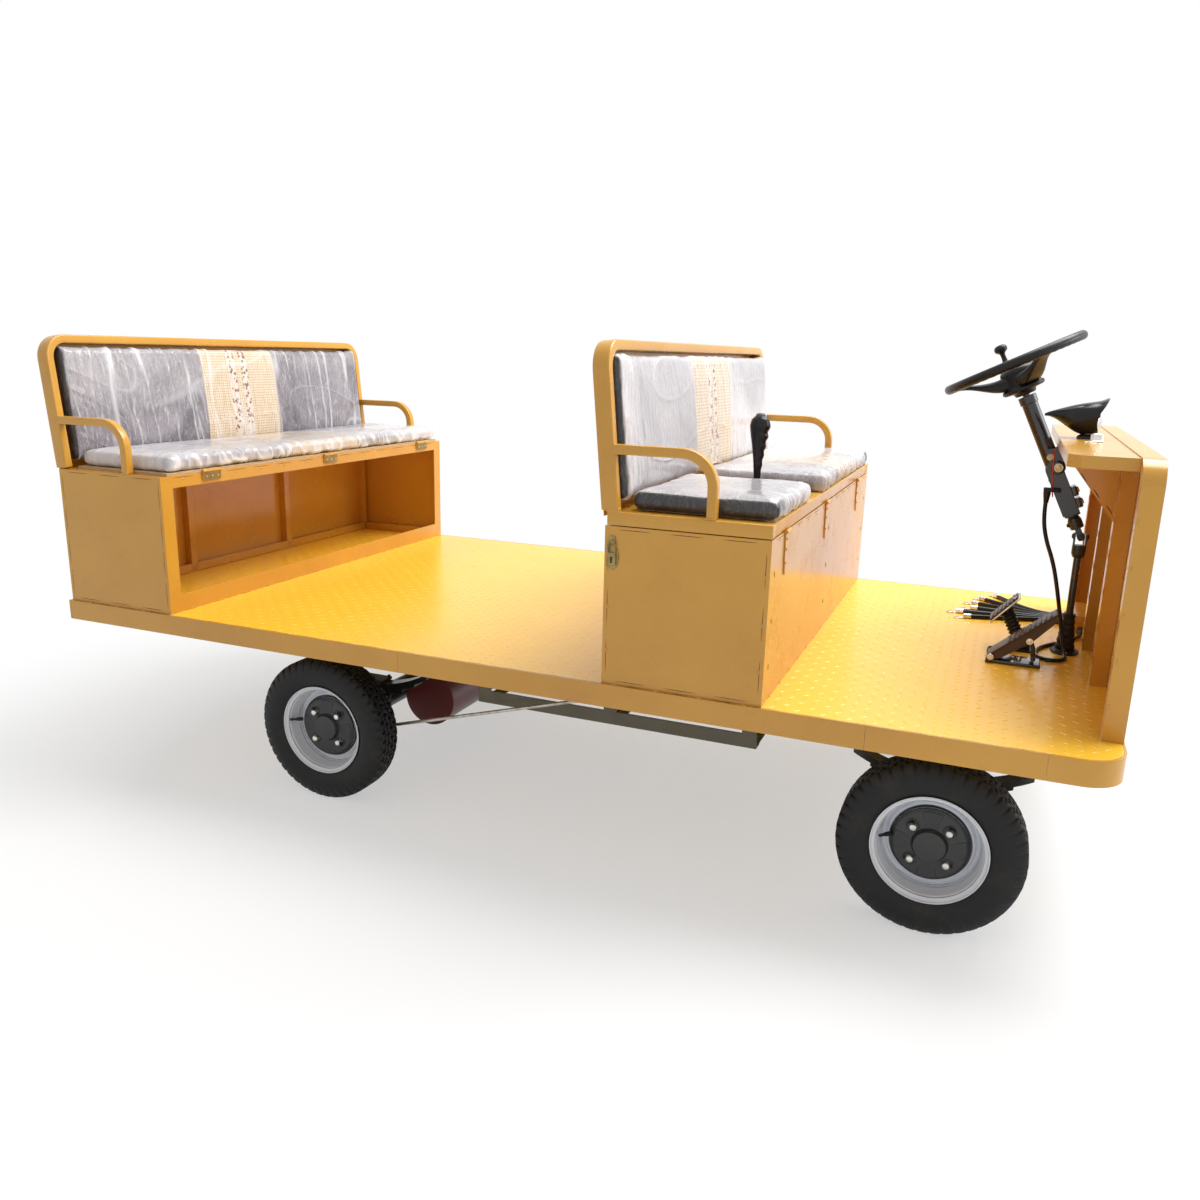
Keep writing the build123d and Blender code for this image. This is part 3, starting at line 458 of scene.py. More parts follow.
def grain_group():
    """Sheet Grain: slow waves of bent sheet and the fine peel of sprayed paint, as one height, and slow colour
    drift."""
    tree, enter, leave = group("Sheet Grain", [("Wave", "NodeSocketFloat", 1.0), ("Peel", "NodeSocketFloat", 1.0)],
        [("Height", "NodeSocketFloat"), ("Drift", "NodeSocketFloat")])
    place = tree.nodes.new("ShaderNodeTexCoord").outputs["Object"]
    slow = node(tree, "ShaderNodeTexNoise", [(place, "Vector"), (3.2, "Scale"), (1.5, "Detail")])
    fine = node(tree, "ShaderNodeTexNoise", [(place, "Vector"), (420.0, "Scale"), (2.0, "Detail")])
    drift = node(tree, "ShaderNodeTexNoise", [(place, "Vector"), (1.7, "Scale"), (4.0, "Detail"), (0.6, "Roughness")])
    waves = math(tree, "MULTIPLY", slow.outputs[0], math(tree, "MULTIPLY", enter.outputs["Wave"], 0.01))
    peel = math(tree, "MULTIPLY", fine.outputs[0], math(tree, "MULTIPLY", enter.outputs["Peel"], 0.00006))
    tree.links.new(math(tree, "ADD", waves, peel), leave.inputs["Height"])
    tree.links.new(drift.outputs[0], leave.inputs["Drift"])
    return tree


def dirt_group():
    """Settled Dirt: specks and dust patches from noise in object space, from 0 to 1."""
    tree, enter, leave = group("Settled Dirt", [("Scale", "NodeSocketFloat", 9.0), ("Amount", "NodeSocketFloat", 0.5)],
        [("Mask", "NodeSocketFloat")])
    place = tree.nodes.new("ShaderNodeTexCoord").outputs["Object"]
    cloud = node(tree, "ShaderNodeTexNoise", [(place, "Vector"), (enter.outputs["Scale"], "Scale"), (6.0, "Detail"),
        (0.65, "Roughness")])
    speck = node(tree, "ShaderNodeTexVoronoi", [(place, "Vector"), (130.0, "Scale")])
    spots = span_map(tree, speck.outputs["Distance"], 0.1, 0.04)
    patches = span_map(tree, cloud.outputs[0], 0.52, 0.78)
    both = math(tree, "MAXIMUM", math(tree, "MULTIPLY", spots, span_map(tree, cloud.outputs[0], 0.55, 0.6)), patches)
    tree.links.new(math(tree, "MULTIPLY", both, enter.outputs["Amount"], True), leave.inputs["Mask"])
    return tree


GROUPS = {}


def shared(name):
    """The node group of an effect, made once."""
    makers = {"wear": wear_group, "grain": grain_group, "dirt": dirt_group, "weave": weave_group}
    if name not in GROUPS:
        GROUPS[name] = makers[name]()
    return GROUPS[name]


def use(tree, name, **values):
    """A node that holds a shared group, with its values."""
    made = tree.nodes.new("ShaderNodeGroup")
    made.node_tree = shared(name)
    for key, value in values.items():
        socket = made.inputs[key.replace("_", " ")]
        if hasattr(value, "is_output"):
            tree.links.new(value, socket)
        else:
            socket.default_value = value
    return made


def seen_directly(tree):
    """1 for rays that show a surface to the camera, straight, by a mirror or through glass."""
    path = tree.nodes.new("ShaderNodeLightPath").outputs
    reflected = math(tree, "MAXIMUM", path["Is Glossy Ray"], path["Is Transmission Ray"])
    return math(tree, "MAXIMUM", path["Is Camera Ray"], reflected)


def blank(name, **settings):
    """A material with its Principled shader; settings are plain socket values."""
    made = bpy.data.materials.new(name)
    made.use_nodes = True
    shader = made.node_tree.nodes["Principled BSDF"]
    for key, value in settings.items():
        shader.inputs[key.replace("_", " ")].default_value = value
    return made, made.node_tree, shader


def weave_group():
    """Basket Weave: over-and-under cells as a height and a mask, from two waves at right angles."""
    tree, enter, leave = group("Basket Weave", [("Vector", "NodeSocketVector", None), ("Pitch", "NodeSocketFloat",
        0.008)],
        [("Height", "NodeSocketFloat"), ("Over", "NodeSocketFloat")])
    scaled = node(tree, "ShaderNodeVectorMath", [(enter.outputs["Vector"], 0)], operation="SCALE")
    tree.links.new(math(tree, "DIVIDE", 3.14159, enter.outputs["Pitch"]), scaled.inputs["Scale"])
    parts = node(tree, "ShaderNodeSeparateXYZ", [(scaled.outputs[0], 0)])
    across = math(tree, "SINE", parts.outputs[0])
    along = math(tree, "SINE", parts.outputs[1])
    over = math(tree, "MULTIPLY", across, along)
    tree.links.new(math(tree, "ABSOLUTE", over), leave.inputs["Height"])
    square = math(tree, "MINIMUM", math(tree, "ABSOLUTE", across), math(tree, "ABSOLUTE", along))
    tree.links.new(span_map(tree, square, 0.12, 0.48), leave.inputs["Over"])
    return tree


def rgb(colour):
    """A colour with full alpha."""
    return (*colour[:3], 1.0)


def paint(name, colour, shade, roughness=0.24, wave=1.0, peel=1.0, dirt=0.35, coat=0.5):
    """Sprayed enamel on sheet: slow waves, orange peel, a drift between two tones, dirt and bare edges."""
    made, tree, shader = blank(name, Metallic=0.0, Roughness=roughness, Coat_Roughness=0.12)
    shader.inputs["Coat Weight"].default_value = coat
    grain = use(tree, "grain", Wave=wave, Peel=peel)
    soil = use(tree, "dirt", Amount=dirt)
    wear = use(tree, "wear", Radius=0.0018)
    tone = mix(tree, span_map(tree, grain.outputs["Drift"], 0.35, 0.68), rgb(colour), rgb(shade))
    soiled = mix(tree, math(tree, "MULTIPLY", soil.outputs["Mask"], 0.35), tone, rgb([c * 0.45 for c in shade]))
    worn = mix(tree, math(tree, "MULTIPLY", wear.outputs["Mask"], 0.4), soiled, rgb([c * 0.55 for c in shade]))
    tree.links.new(worn, shader.inputs["Base Color"])
    rough = math(tree, "ADD", math(tree, "MULTIPLY", soil.outputs["Mask"], 0.35), roughness)
    tree.links.new(rough, shader.inputs["Roughness"])
    bevel = node(tree, "ShaderNodeBevel", [(0.0015, "Radius")], samples=4)
    bump = node(tree, "ShaderNodeBump", [(1.0, "Strength"), (1.0, "Distance"), (grain.outputs["Height"], "Height"),
        (bevel.outputs[0], "Normal")])
    tree.links.new(bump.outputs[0], shader.inputs["Normal"])
    return made


def plain_metal(name, colour, roughness, grain=0.5):
    """Bright metal with fine scratches and dull patches."""
    made, tree, shader = blank(name, Metallic=1.0, Roughness=roughness)
    place = tree.nodes.new("ShaderNodeTexCoord").outputs["Object"]
    clouds = node(tree, "ShaderNodeTexNoise", [(place, "Vector"), (35.0, "Scale"), (5.0, "Detail")])
    fine = node(tree, "ShaderNodeTexNoise", [(place, "Vector"), (600.0, "Scale"), (2.0, "Detail")])
    tree.links.new(mix(tree, span_map(tree, clouds.outputs[0], 0.35, 0.7), rgb(colour),
        rgb([c * 0.6 for c in colour])),
        shader.inputs["Base Color"])
    tree.links.new(span_map(tree, clouds.outputs[0], 0.3, 0.7, roughness, roughness + 0.25),
        shader.inputs["Roughness"])
    bump = node(tree, "ShaderNodeBump", [(grain, "Strength"), (0.0002, "Distance"), (fine.outputs[0], "Height")])
    tree.links.new(bump.outputs[0], shader.inputs["Normal"])
    return made


def moulded(name, colour, roughness, fine=900.0, strength=0.35):
    """Moulded plastic or rubber: fine pebble grain and faint dust."""
    made, tree, shader = blank(name, Roughness=roughness)
    shader.inputs["Specular IOR Level"].default_value = 0.3
    place = tree.nodes.new("ShaderNodeTexCoord").outputs["Object"]
    pebble = node(tree, "ShaderNodeTexVoronoi", [(place, "Vector"), (fine, "Scale")])
    soil = use(tree, "dirt", Amount=0.5)
    dusty = mix(tree, math(tree, "MULTIPLY", soil.outputs["Mask"], 0.25), rgb(colour), (0.22, 0.19, 0.15, 1.0))
    tree.links.new(dusty, shader.inputs["Base Color"])
    tree.links.new(math(tree, "ADD", math(tree, "MULTIPLY", soil.outputs["Mask"], 0.3), roughness),
        shader.inputs["Roughness"])
    bump = node(tree, "ShaderNodeBump", [(strength, "Strength"), (0.0002, "Distance"), (pebble.outputs["Distance"],
        "Height")])
    tree.links.new(bump.outputs[0], shader.inputs["Normal"])
    return made


def film_over_cloth(name):
    """Seat cloth under clear wrinkled film. The film's crests and thin crinkle lines carry a painted white highlight
    in the base colour, and its hollows show dark cloth;
    sides marked on the mesh are dark leathercloth; the strip on the mesh is a straw weave with two patterned bands."""
    made, tree, shader = blank(name, Roughness=0.34, Coat_Roughness=0.1, Coat_IOR=1.45)
    shader.inputs["Coat Weight"].default_value = 0.8
    place = tree.nodes.new("ShaderNodeTexCoord").outputs["Object"]
    crest, side, strip, band, shade = (node(tree, "ShaderNodeAttribute", attribute_name=label).outputs["Fac"]
        for label in ("crest", "side", "strip", "band", "shade"))
    flat = node(tree, "ShaderNodeAttribute", attribute_name="flat_place").outputs["Vector"]
    clouds = node(tree, "ShaderNodeTexNoise", [(place, "Vector"), (4.0, "Scale"), (5.0, "Detail"), (0.62, "Roughness"),
        (0.8, "Distortion")])
    cloth = mix(tree, span_map(tree, clouds.outputs[0], 0.36, 0.66), (0.085, 0.072, 0.095, 1), (0.34, 0.31, 0.335, 1))
    cloth = mix(tree, shade, cloth, (0.7, 0.67, 0.68, 1))
    weave = use(tree, "weave", Vector=flat, Pitch=0.0095)
    straw = mix(tree, weave.outputs["Over"], (0.56, 0.36, 0.19, 1), (0.88, 0.74, 0.54, 1))
    spots = node(tree, "ShaderNodeTexVoronoi", [(flat, "Vector"), (74.0, "Scale")])
    motif = mix(tree, span_map(tree, spots.outputs["Distance"], 0.46, 0.36), (0.84, 0.72, 0.6, 1), (0.26, 0.09, 0.05,
        1))
    straw = mix(tree, band, straw, motif)
    top = mix(tree, strip, cloth, straw)
    dark = mix(tree, span_map(tree, clouds.outputs[0], 0.4, 0.7), (0.006, 0.006, 0.01, 1), (0.022, 0.021, 0.03, 1))
    body = mix(tree, side, top, dark)
    stretch = node(tree, "ShaderNodeMapping", [(place, "Vector")])
    stretch.inputs["Scale"].default_value = (1.0, 1.0, 0.2)
    crinkle = node(tree, "ShaderNodeTexNoise", [(stretch.outputs[0], "Vector"), (55.0, "Scale"), (6.0, "Detail"),
        (0.62, "Roughness"), (1.2, "Distortion")])
    ridge = math(tree, "ABSOLUTE", math(tree, "SUBTRACT", crinkle.outputs[0], 0.5))
    # painted highlight: thin crinkle lines and the fold crests mix the base colour toward pale grey-white
    thin = span_map(tree, ridge, 0.014, 0.002, 0.0, 0.42)
    faint = math(tree, "MULTIPLY", thin, math(tree, "SUBTRACT", 1.0, math(tree, "MULTIPLY", side, 0.75)))
    painted_glint = math(tree, "MAXIMUM", math(tree, "MULTIPLY", span_map(tree, crest, 0.42, 0.95), 0.85), faint)
    tree.links.new(mix(tree, painted_glint, body, (0.84, 0.83, 0.86, 1)), shader.inputs["Base Color"])
    bump = node(tree, "ShaderNodeBump", [(0.9, "Strength"), (0.01, "Distance"), (ridge, "Height")])
    tree.links.new(bump.outputs[0], shader.inputs["Normal"])
    return made


def make_materials():
    """All finishes by name."""
    gold, ochre = (0.66, 0.335, 0.036), (0.57, 0.27, 0.03)
    made = {
        "paint": paint("golden_enamel", gold, ochre, 0.24, 0.8, coat=0.25),
        "tack": paint("tack_enamel", (0.9, 0.62, 0.22), (0.82, 0.5, 0.14), 0.3, 0.2, 2.0, 0.1),
        # dark red-brown finish for seam gaps and slots: painted shade of the openings over a red-brown seam colour
        "stain_and_gap_shade": moulded("seam_stain_and_gap_shade", (0.16, 0.035, 0.012), 0.8),
        # deck: a brighter copy of the golden enamel, painted sunlight on the deck and its raised marks
        "deck": paint("deck_enamel_painted_sunlight", (0.98, 0.57, 0.042), (0.95, 0.535, 0.038), 0.3, 0.15, 2.0, 0.15, 0.2),
        "chassis": paint("chassis_black", (0.018, 0.017, 0.016), (0.028, 0.026, 0.023), 0.45, 0.2, 3.0, 0.6, 0.1),
        "rack": paint("rack_primer", (0.15, 0.135, 0.085), (0.105, 0.092, 0.06), 0.5, 0.3, 3.0, 0.6, 0.1),
        "motor": paint("motor_maroon", (0.16, 0.022, 0.02), (0.1, 0.015, 0.014), 0.4, 0.2, 3.0, 0.6, 0.2),
        "rim": paint("rim_white", (0.8, 0.81, 0.84), (0.7, 0.73, 0.79), 0.3, 0.2, 1.5, 0.3, 0.3),
        "black": paint("satin_black", (0.012, 0.012, 0.013), (0.018, 0.017, 0.016), 0.38, 0.2, 2.0, 0.4, 0.2),
        "enamel_black": paint("gloss_black_enamel", (0.014, 0.015, 0.02), (0.028, 0.022, 0.02), 0.24, 0.3, 2.0, 0.25,
        0.5),
        "hub": paint("hub_charcoal", (0.012, 0.013, 0.018), (0.02, 0.02, 0.025), 0.42, 0.1, 2.0, 0.2, 0.1),
        "gloss": moulded("gloss_plastic", (0.009, 0.009, 0.011), 0.2, 700.0, 0.05),
        "wheel": moulded("wheel_plastic", (0.008, 0.008, 0.011), 0.34, 700.0, 0.08),
        "grey_cap": moulded("grey_cap", (0.1, 0.1, 0.11), 0.4),
        "cord": moulded("cord_sheath", (0.01, 0.01, 0.012), 0.22, 300.0, 0.1),
        "cream": moulded("cream_wire", (0.72, 0.62, 0.42), 0.4, 600.0, 0.1),
        "red": moulded("red_wire", (0.6, 0.06, 0.02), 0.35, 600.0, 0.1),
        "tan": moulded("tan_housing", (0.5, 0.27, 0.09), 0.35, 500.0, 0.15),
        "pedal": moulded("brown_rubber", (0.075, 0.045, 0.03), 0.38, 420.0, 0.3),
        "rubber": moulded("tyre_rubber", (0.0095, 0.0095, 0.01), 0.55, 420.0, 0.6),
        "boot": moulded("boot_rubber", (0.012, 0.012, 0.012), 0.45, 500.0, 0.4),
        "zinc": plain_metal("zinc_plate", (0.62, 0.6, 0.55), 0.32),
        "bright": plain_metal("bright_steel", (0.82, 0.8, 0.76), 0.16),
        "brass": plain_metal("aged_brass", (0.42, 0.31, 0.12), 0.35),
        "brass_bright": plain_metal("passivated_zinc", (0.7, 0.56, 0.3), 0.25),
        "film": film_over_cloth("film_over_cloth"),
    }
    board, tree, shader = blank("plywood", Roughness=0.7)
    place = tree.nodes.new("ShaderNodeTexCoord").outputs["Object"]
    grain = node(tree, "ShaderNodeTexWave", [(place, "Vector"), (40.0, "Scale"), (6.0, "Distortion"), (3.0, "Detail")],
        wave_type="BANDS", bands_direction="Z")
    tree.links.new(mix(tree, grain.outputs[0], (0.44, 0.29, 0.15, 1), (0.6, 0.43, 0.25, 1)),
        shader.inputs["Base Color"])
    made["board"] = board
    return made


MATERIALS = make_materials()
LEAN = np.radians(5.5)

CARRIED = {
    # solids that keep their shape, and their finish
    # the deck plate takes the brighter enamel copy, painted sunlight
    "deck_plate": "deck", "deck_lips": "paint", "chassis_frame": "chassis", "rear_box": "paint",
    "driver_box": "paint", "rear_seat_board": "board",
    "seat_hinges": "paint", "dash_cowl": "paint", "dash_frame": "paint", "steering_column": "enamel_black",
    "steering_shaft": "enamel_black", "lower_shaft": "enamel_black", "steering_gearbox": "black",
    "pitman_arm": "black",
    "knuckle_right": "black", "knuckle_left": "black", "steering_links": "black", "front_axle": "black",
    "rear_axle": "black", "drive_motor": "motor", "leaf_springs": "black", "spring_mountings": "chassis",
    "brake_rods": "zinc",
}


# Settings a user would change

class TruckBody(bpy.types.PropertyGroup):
    """Sizes of the deck's marks and of the weld tacks."""
    mark_pitch: bpy.props.FloatProperty(name="Mark pitch", description="Distance between the deck's raised marks",
        default=0.03, min=0.015, subtype="DISTANCE", unit="LENGTH")
    tack_length: bpy.props.FloatProperty(name="Tack length", description="Length of a weld tack", default=0.016,
        min=0.004, subtype="DISTANCE", unit="LENGTH")


class TruckWheels(bpy.types.PropertyGroup):
    """Sizes of the tyres' tread."""
    tread_depth: bpy.props.FloatProperty(name="Tread depth", description="Depth of the grooves", default=0.0085,
        min=0.0, subtype="DISTANCE", unit="LENGTH")
    blocks: bpy.props.IntProperty(name="Blocks", description="Tread blocks round a tyre", default=46, min=12)


class TruckCushions(bpy.types.PropertyGroup):
    """Sizes of the cushions and their film."""
    voxel: bpy.props.FloatProperty(name="Voxel", description="Grain of the padding's remesh", default=0.0108,
        min=0.003, subtype="DISTANCE", unit="LENGTH")
    swell: bpy.props.FloatProperty(name="Swell", description="Most that a point may move outwards", default=0.012,
        min=0.0, subtype="DISTANCE", unit="LENGTH")
    folds: bpy.props.FloatProperty(name="Folds", description="Height of the film's folds", default=0.0055,
        min=0.0, subtype="DISTANCE", unit="LENGTH")


class TruckStage(bpy.types.PropertyGroup):
    """Light and floor."""
    floor_colour: bpy.props.FloatVectorProperty(name="Floor colour", description="Colour of the floor", size=3,
        default=(0.9, 0.9, 0.9), min=0.0, max=1.0, subtype="COLOR")
    key_power: bpy.props.FloatProperty(name="Key light", description="Power of the main soft light", default=430.0,
        min=0.0, unit="POWER")


# Stage

CAMERA_PLACE = (1.21223, -2.941986, 1.368905)
CAMERA_RIGHT = (0.92384, 0.38198, 0.02449)
CAMERA_UP = (-0.11487, 0.21563, 0.96969)
CAMERA_LENS = 29.577


class TRUCK_OT_stage(bpy.types.Operator):
    """Camera at the photographed angle, pale floor and soft light."""
    bl_idname = "truck.stage"
    bl_label = "Stage"

    def execute(self, context):
        scene = context.scene
        settings = scene.truck_stage
        camera = bpy.data.objects.new("camera", bpy.data.cameras.new("camera"))
        scene.collection.objects.link(camera)
        right = Vector(CAMERA_RIGHT).normalized()
        up = (Vector(CAMERA_UP) - right * right.dot(Vector(CAMERA_UP))).normalized()
        turn = Matrix((right, up, right.cross(up))).transposed().to_4x4()
        camera.matrix_world = Matrix.Translation(CAMERA_PLACE) @ turn
        camera.data.lens = CAMERA_LENS
        camera.data.sensor_width = 36.0
        camera.data.clip_end = 200.0
        scene.camera = camera

        floor = new_mesh("floor", [(-40, -40, 0), (40, -40, 0), (40, 40, 0), (-40, 40, 0)], [(0, 1, 2, 3)], False)
        made, tree, shader = blank("floor_paper", Base_Color=rgb(settings.floor_colour), Roughness=0.9)
        shader.inputs["Specular IOR Level"].default_value = 0.0
        place = tree.nodes.new("ShaderNodeTexCoord").outputs["Object"]
        distance = node(tree, "ShaderNodeVectorMath", [(place, 0)], operation="LENGTH").outputs["Value"]
        seen = seen_directly(tree)
        white = node(tree, "ShaderNodeEmission", [((1.0, 1.0, 1.0, 1.0), "Color"), (1.0, "Strength")])
        faded = math(tree, "MULTIPLY", seen, span_map(tree, distance, 1.45, 2.7, 0.5, 1.0))
        choose = node(tree, "ShaderNodeMixShader", [(faded, 0), (shader.outputs[0], 1), (white.outputs[0], 2)])
        tree.links.new(choose.outputs[0], tree.nodes["Material Output"].inputs[0])
        floor.data.materials.append(made)

        world = bpy.data.worlds.new("studio")
        scene.world = world
        world.use_nodes = True
        tree = world.node_tree
        sky = tree.nodes["Background"]
        sky.inputs["Color"].default_value = (1.0, 1.0, 1.0, 1.0)
        sky.inputs["Strength"].default_value = 0.5
        clear = node(tree, "ShaderNodeBackground", [((1.0, 1.0, 1.0, 1.0), "Color"), (1.0, "Strength")])
        seen = seen_directly(tree)
        choose = node(tree, "ShaderNodeMixShader", [(seen, 0), (sky.outputs[0], 1), (clear.outputs[0], 2)])
        tree.links.new(choose.outputs[0], tree.nodes["World Output"].inputs[0])

        for name, place, size, power in (
                ("key", (2.0, 1.4, 5.6), 4.6, settings.key_power),
                ("front", (5.2, 1.2, 2.6), 3.0, settings.key_power * 0.2),
        ):
            lamp = bpy.data.lights.new(name, "AREA")
            lamp.shape, lamp.size, lamp.energy = "DISK", size, power
            light = bpy.data.objects.new(name, lamp)
            scene.collection.objects.link(light)
            light.location = place
            light.rotation_mode = "QUATERNION"
            light.rotation_quaternion = (Vector((0.2, 0, 0.6)) - Vector(place)).to_track_quat("-Z", "Y")
        scene.view_settings.view_transform = "Standard"
        return {"FINISHED"}


class TRUCK_OT_finishes(bpy.types.Operator):
    """Gives each solid that keeps its shape its finish."""
    bl_idname = "truck.finishes"
    bl_label = "Finishes"

    def execute(self, context):
        for name, finish in CARRIED.items():
            NODES[name].data.materials.clear()
            NODES[name].data.materials.append(MATERIALS[finish])
        return {"FINISHED"}


# Deck, benches and their small fittings

LINE = 0.11


def lozenge():
    """One raised mark of the checker plate: a bar bowed along its length, its half width the root of 1 - t*t and its
    height 1 - t**4, on three lines of points."""
    t = np.linspace(-1, 1, 5)
    half = 0.003 * np.sqrt(np.clip(1 - t * t, 0.02, 1))
    rows = []
    for side, height in ((-1, -0.0004), (0, 0.0011), (1, -0.0004)):
        z = np.full_like(t, height) if side else height * (1 - t ** 4) - 0.0002
        rows.append(np.stack([t * 0.0125, 0.0016 * t * t + side * half, z], 1))
    points = np.stack(rows)
    return points.reshape(-1, 3), grid_faces(3, 5)[:, ::-1].tolist()


def run_of(start, end, step=LINE):
    """Places at even steps from one point to another, half a step in from the ends."""
    start, end = np.array(start, float), np.array(end, float)
    count = max(1, int(round(np.linalg.norm(end - start) / step)))
    return start + (end - start) * ((np.arange(count) + 0.5) / count)[:, None]


def rack_parts():
    """The open battery rack: a thin lower rail on each side that hangs from three posts, and three tray straps."""
    low, high = span("battery_rack")
    foot, rail_top = low[2] - 0.006, low[2] + 0.034
    posts = np.array((0.022, (high[0] - low[0]) / 2, high[0] - low[0] - 0.022)) + low[0]
    parts = []
    for side in (-1, 1):
        outer = side * high[1]
        flat = [outer, outer - side * 0.005]
        parts.append(rounded_block((low[0], min(flat), foot), (high[0], max(flat), rail_top), 0.0012))
        shelf = [outer - side * 0.0052, outer - side * 0.04]
        parts.append(rounded_block((low[0], min(shelf), foot), (high[0], max(shelf), foot + 0.005), 0.0012))
        for x in posts:
            parts.append(rounded_block((x - 0.02, min(flat), rail_top - 0.0006), (x + 0.02, max(flat), high[2]),
                0.0012))
    for x in posts:
        parts.append(rounded_block((x - 0.02, -high[1] + 0.041, foot), (x + 0.02, high[1] - 0.041, foot + 0.005),
            0.0012))
    return parts


class TRUCK_OT_deck(bpy.types.Operator):
    """Raised marks of the checker plate, weld tacks along the lips and the seam between them as dark strips: painted
    shade of the gap over a red-brown seam colour.
    """
    bl_idname = "truck.deck"
    bl_label = "Deck"

    def execute(self, context):
        pitch = context.scene.truck_body.mark_pitch
        low, high = span("deck_plate")
        x, y = np.meshgrid(np.arange(low[0] + 0.02, high[0] - 0.015, pitch),
            np.arange(low[1] + 0.02, high[1] - 0.015, pitch), indexing="ij")
        even = (np.arange(x.shape[0])[:, None] + np.arange(x.shape[1])[None, :]) % 2 == 0
        box_low, box_high = span("driver_box")
        keep = ~((x > box_low[0] + 0.01) & (x < box_high[0] - 0.01) & (np.abs(y) < box_high[1] - 0.01))
        corner = 0.084
        past = np.hypot(np.maximum(x - (high[0] - corner), 0), np.maximum(np.abs(y) - (high[1] - corner), 0))
        keep &= past < corner - 0.02
        parts = []
        for chosen, direction in ((even, (1, 1, 0)), (~even, (1, -1, 0))):
            use_here = chosen & keep
            places = np.stack([x[use_here], y[use_here], np.full(use_here.sum(), high[2])], 1)
            parts.append(repeated(lozenge(), places, direction, (0, 0, 1)))
        piece = joined("checker_marks", parts)
        # the raised marks take the deck's brighter enamel, painted sunlight
        finish_piece(piece, "chassis", "deck_paint", MATERIALS["deck"])
        build("battery_rack_open", rack_parts(), "chassis", "rack", "battery_rack")

        lip_low, lip_high = span("deck_lips")
        top = lip_high[2]
        tacks, slots = [], []
        for side in (-1, 1):
            line = run_of((lip_low[0] + 0.03, side * high[1], top), (lip_high[0] - 0.1, side * high[1], top))
            tacks.append(repeated(weld_tack(0.016, 0.0055, 0.0014), line, (1, 0, 0), (0, 0, 1)))
            middles = (line[1:] + line[:-1]) / 2
            slots.append(repeated(weld_tack(0.074, 0.0022, 0.0004), middles, (1, 0, 0), (0, 0, 1)))
        for x_edge in (low[0], high[0]):
            reach = high[1] - (0.02 if x_edge < 0 else 0.1)
            line = run_of((x_edge, -reach, top), (x_edge, reach, top))
            tacks.append(repeated(weld_tack(0.016, 0.0055, 0.0014), line, (0, 1, 0), (0, 0, 1)))
            slots.append(repeated(weld_tack(0.074, 0.0022, 0.0004), (line[1:] + line[:-1]) / 2, (0, 1, 0), (0, 0, 1)))
        build("lip_tacks", tacks, "chassis", "tack")
        # the strips between the tacks are painted shade of the seam gap over a red-brown seam colour
        build("lip_seam_stain_and_gap_shade", slots, "chassis", "stain_and_gap_shade")
        return {"FINISHED"}


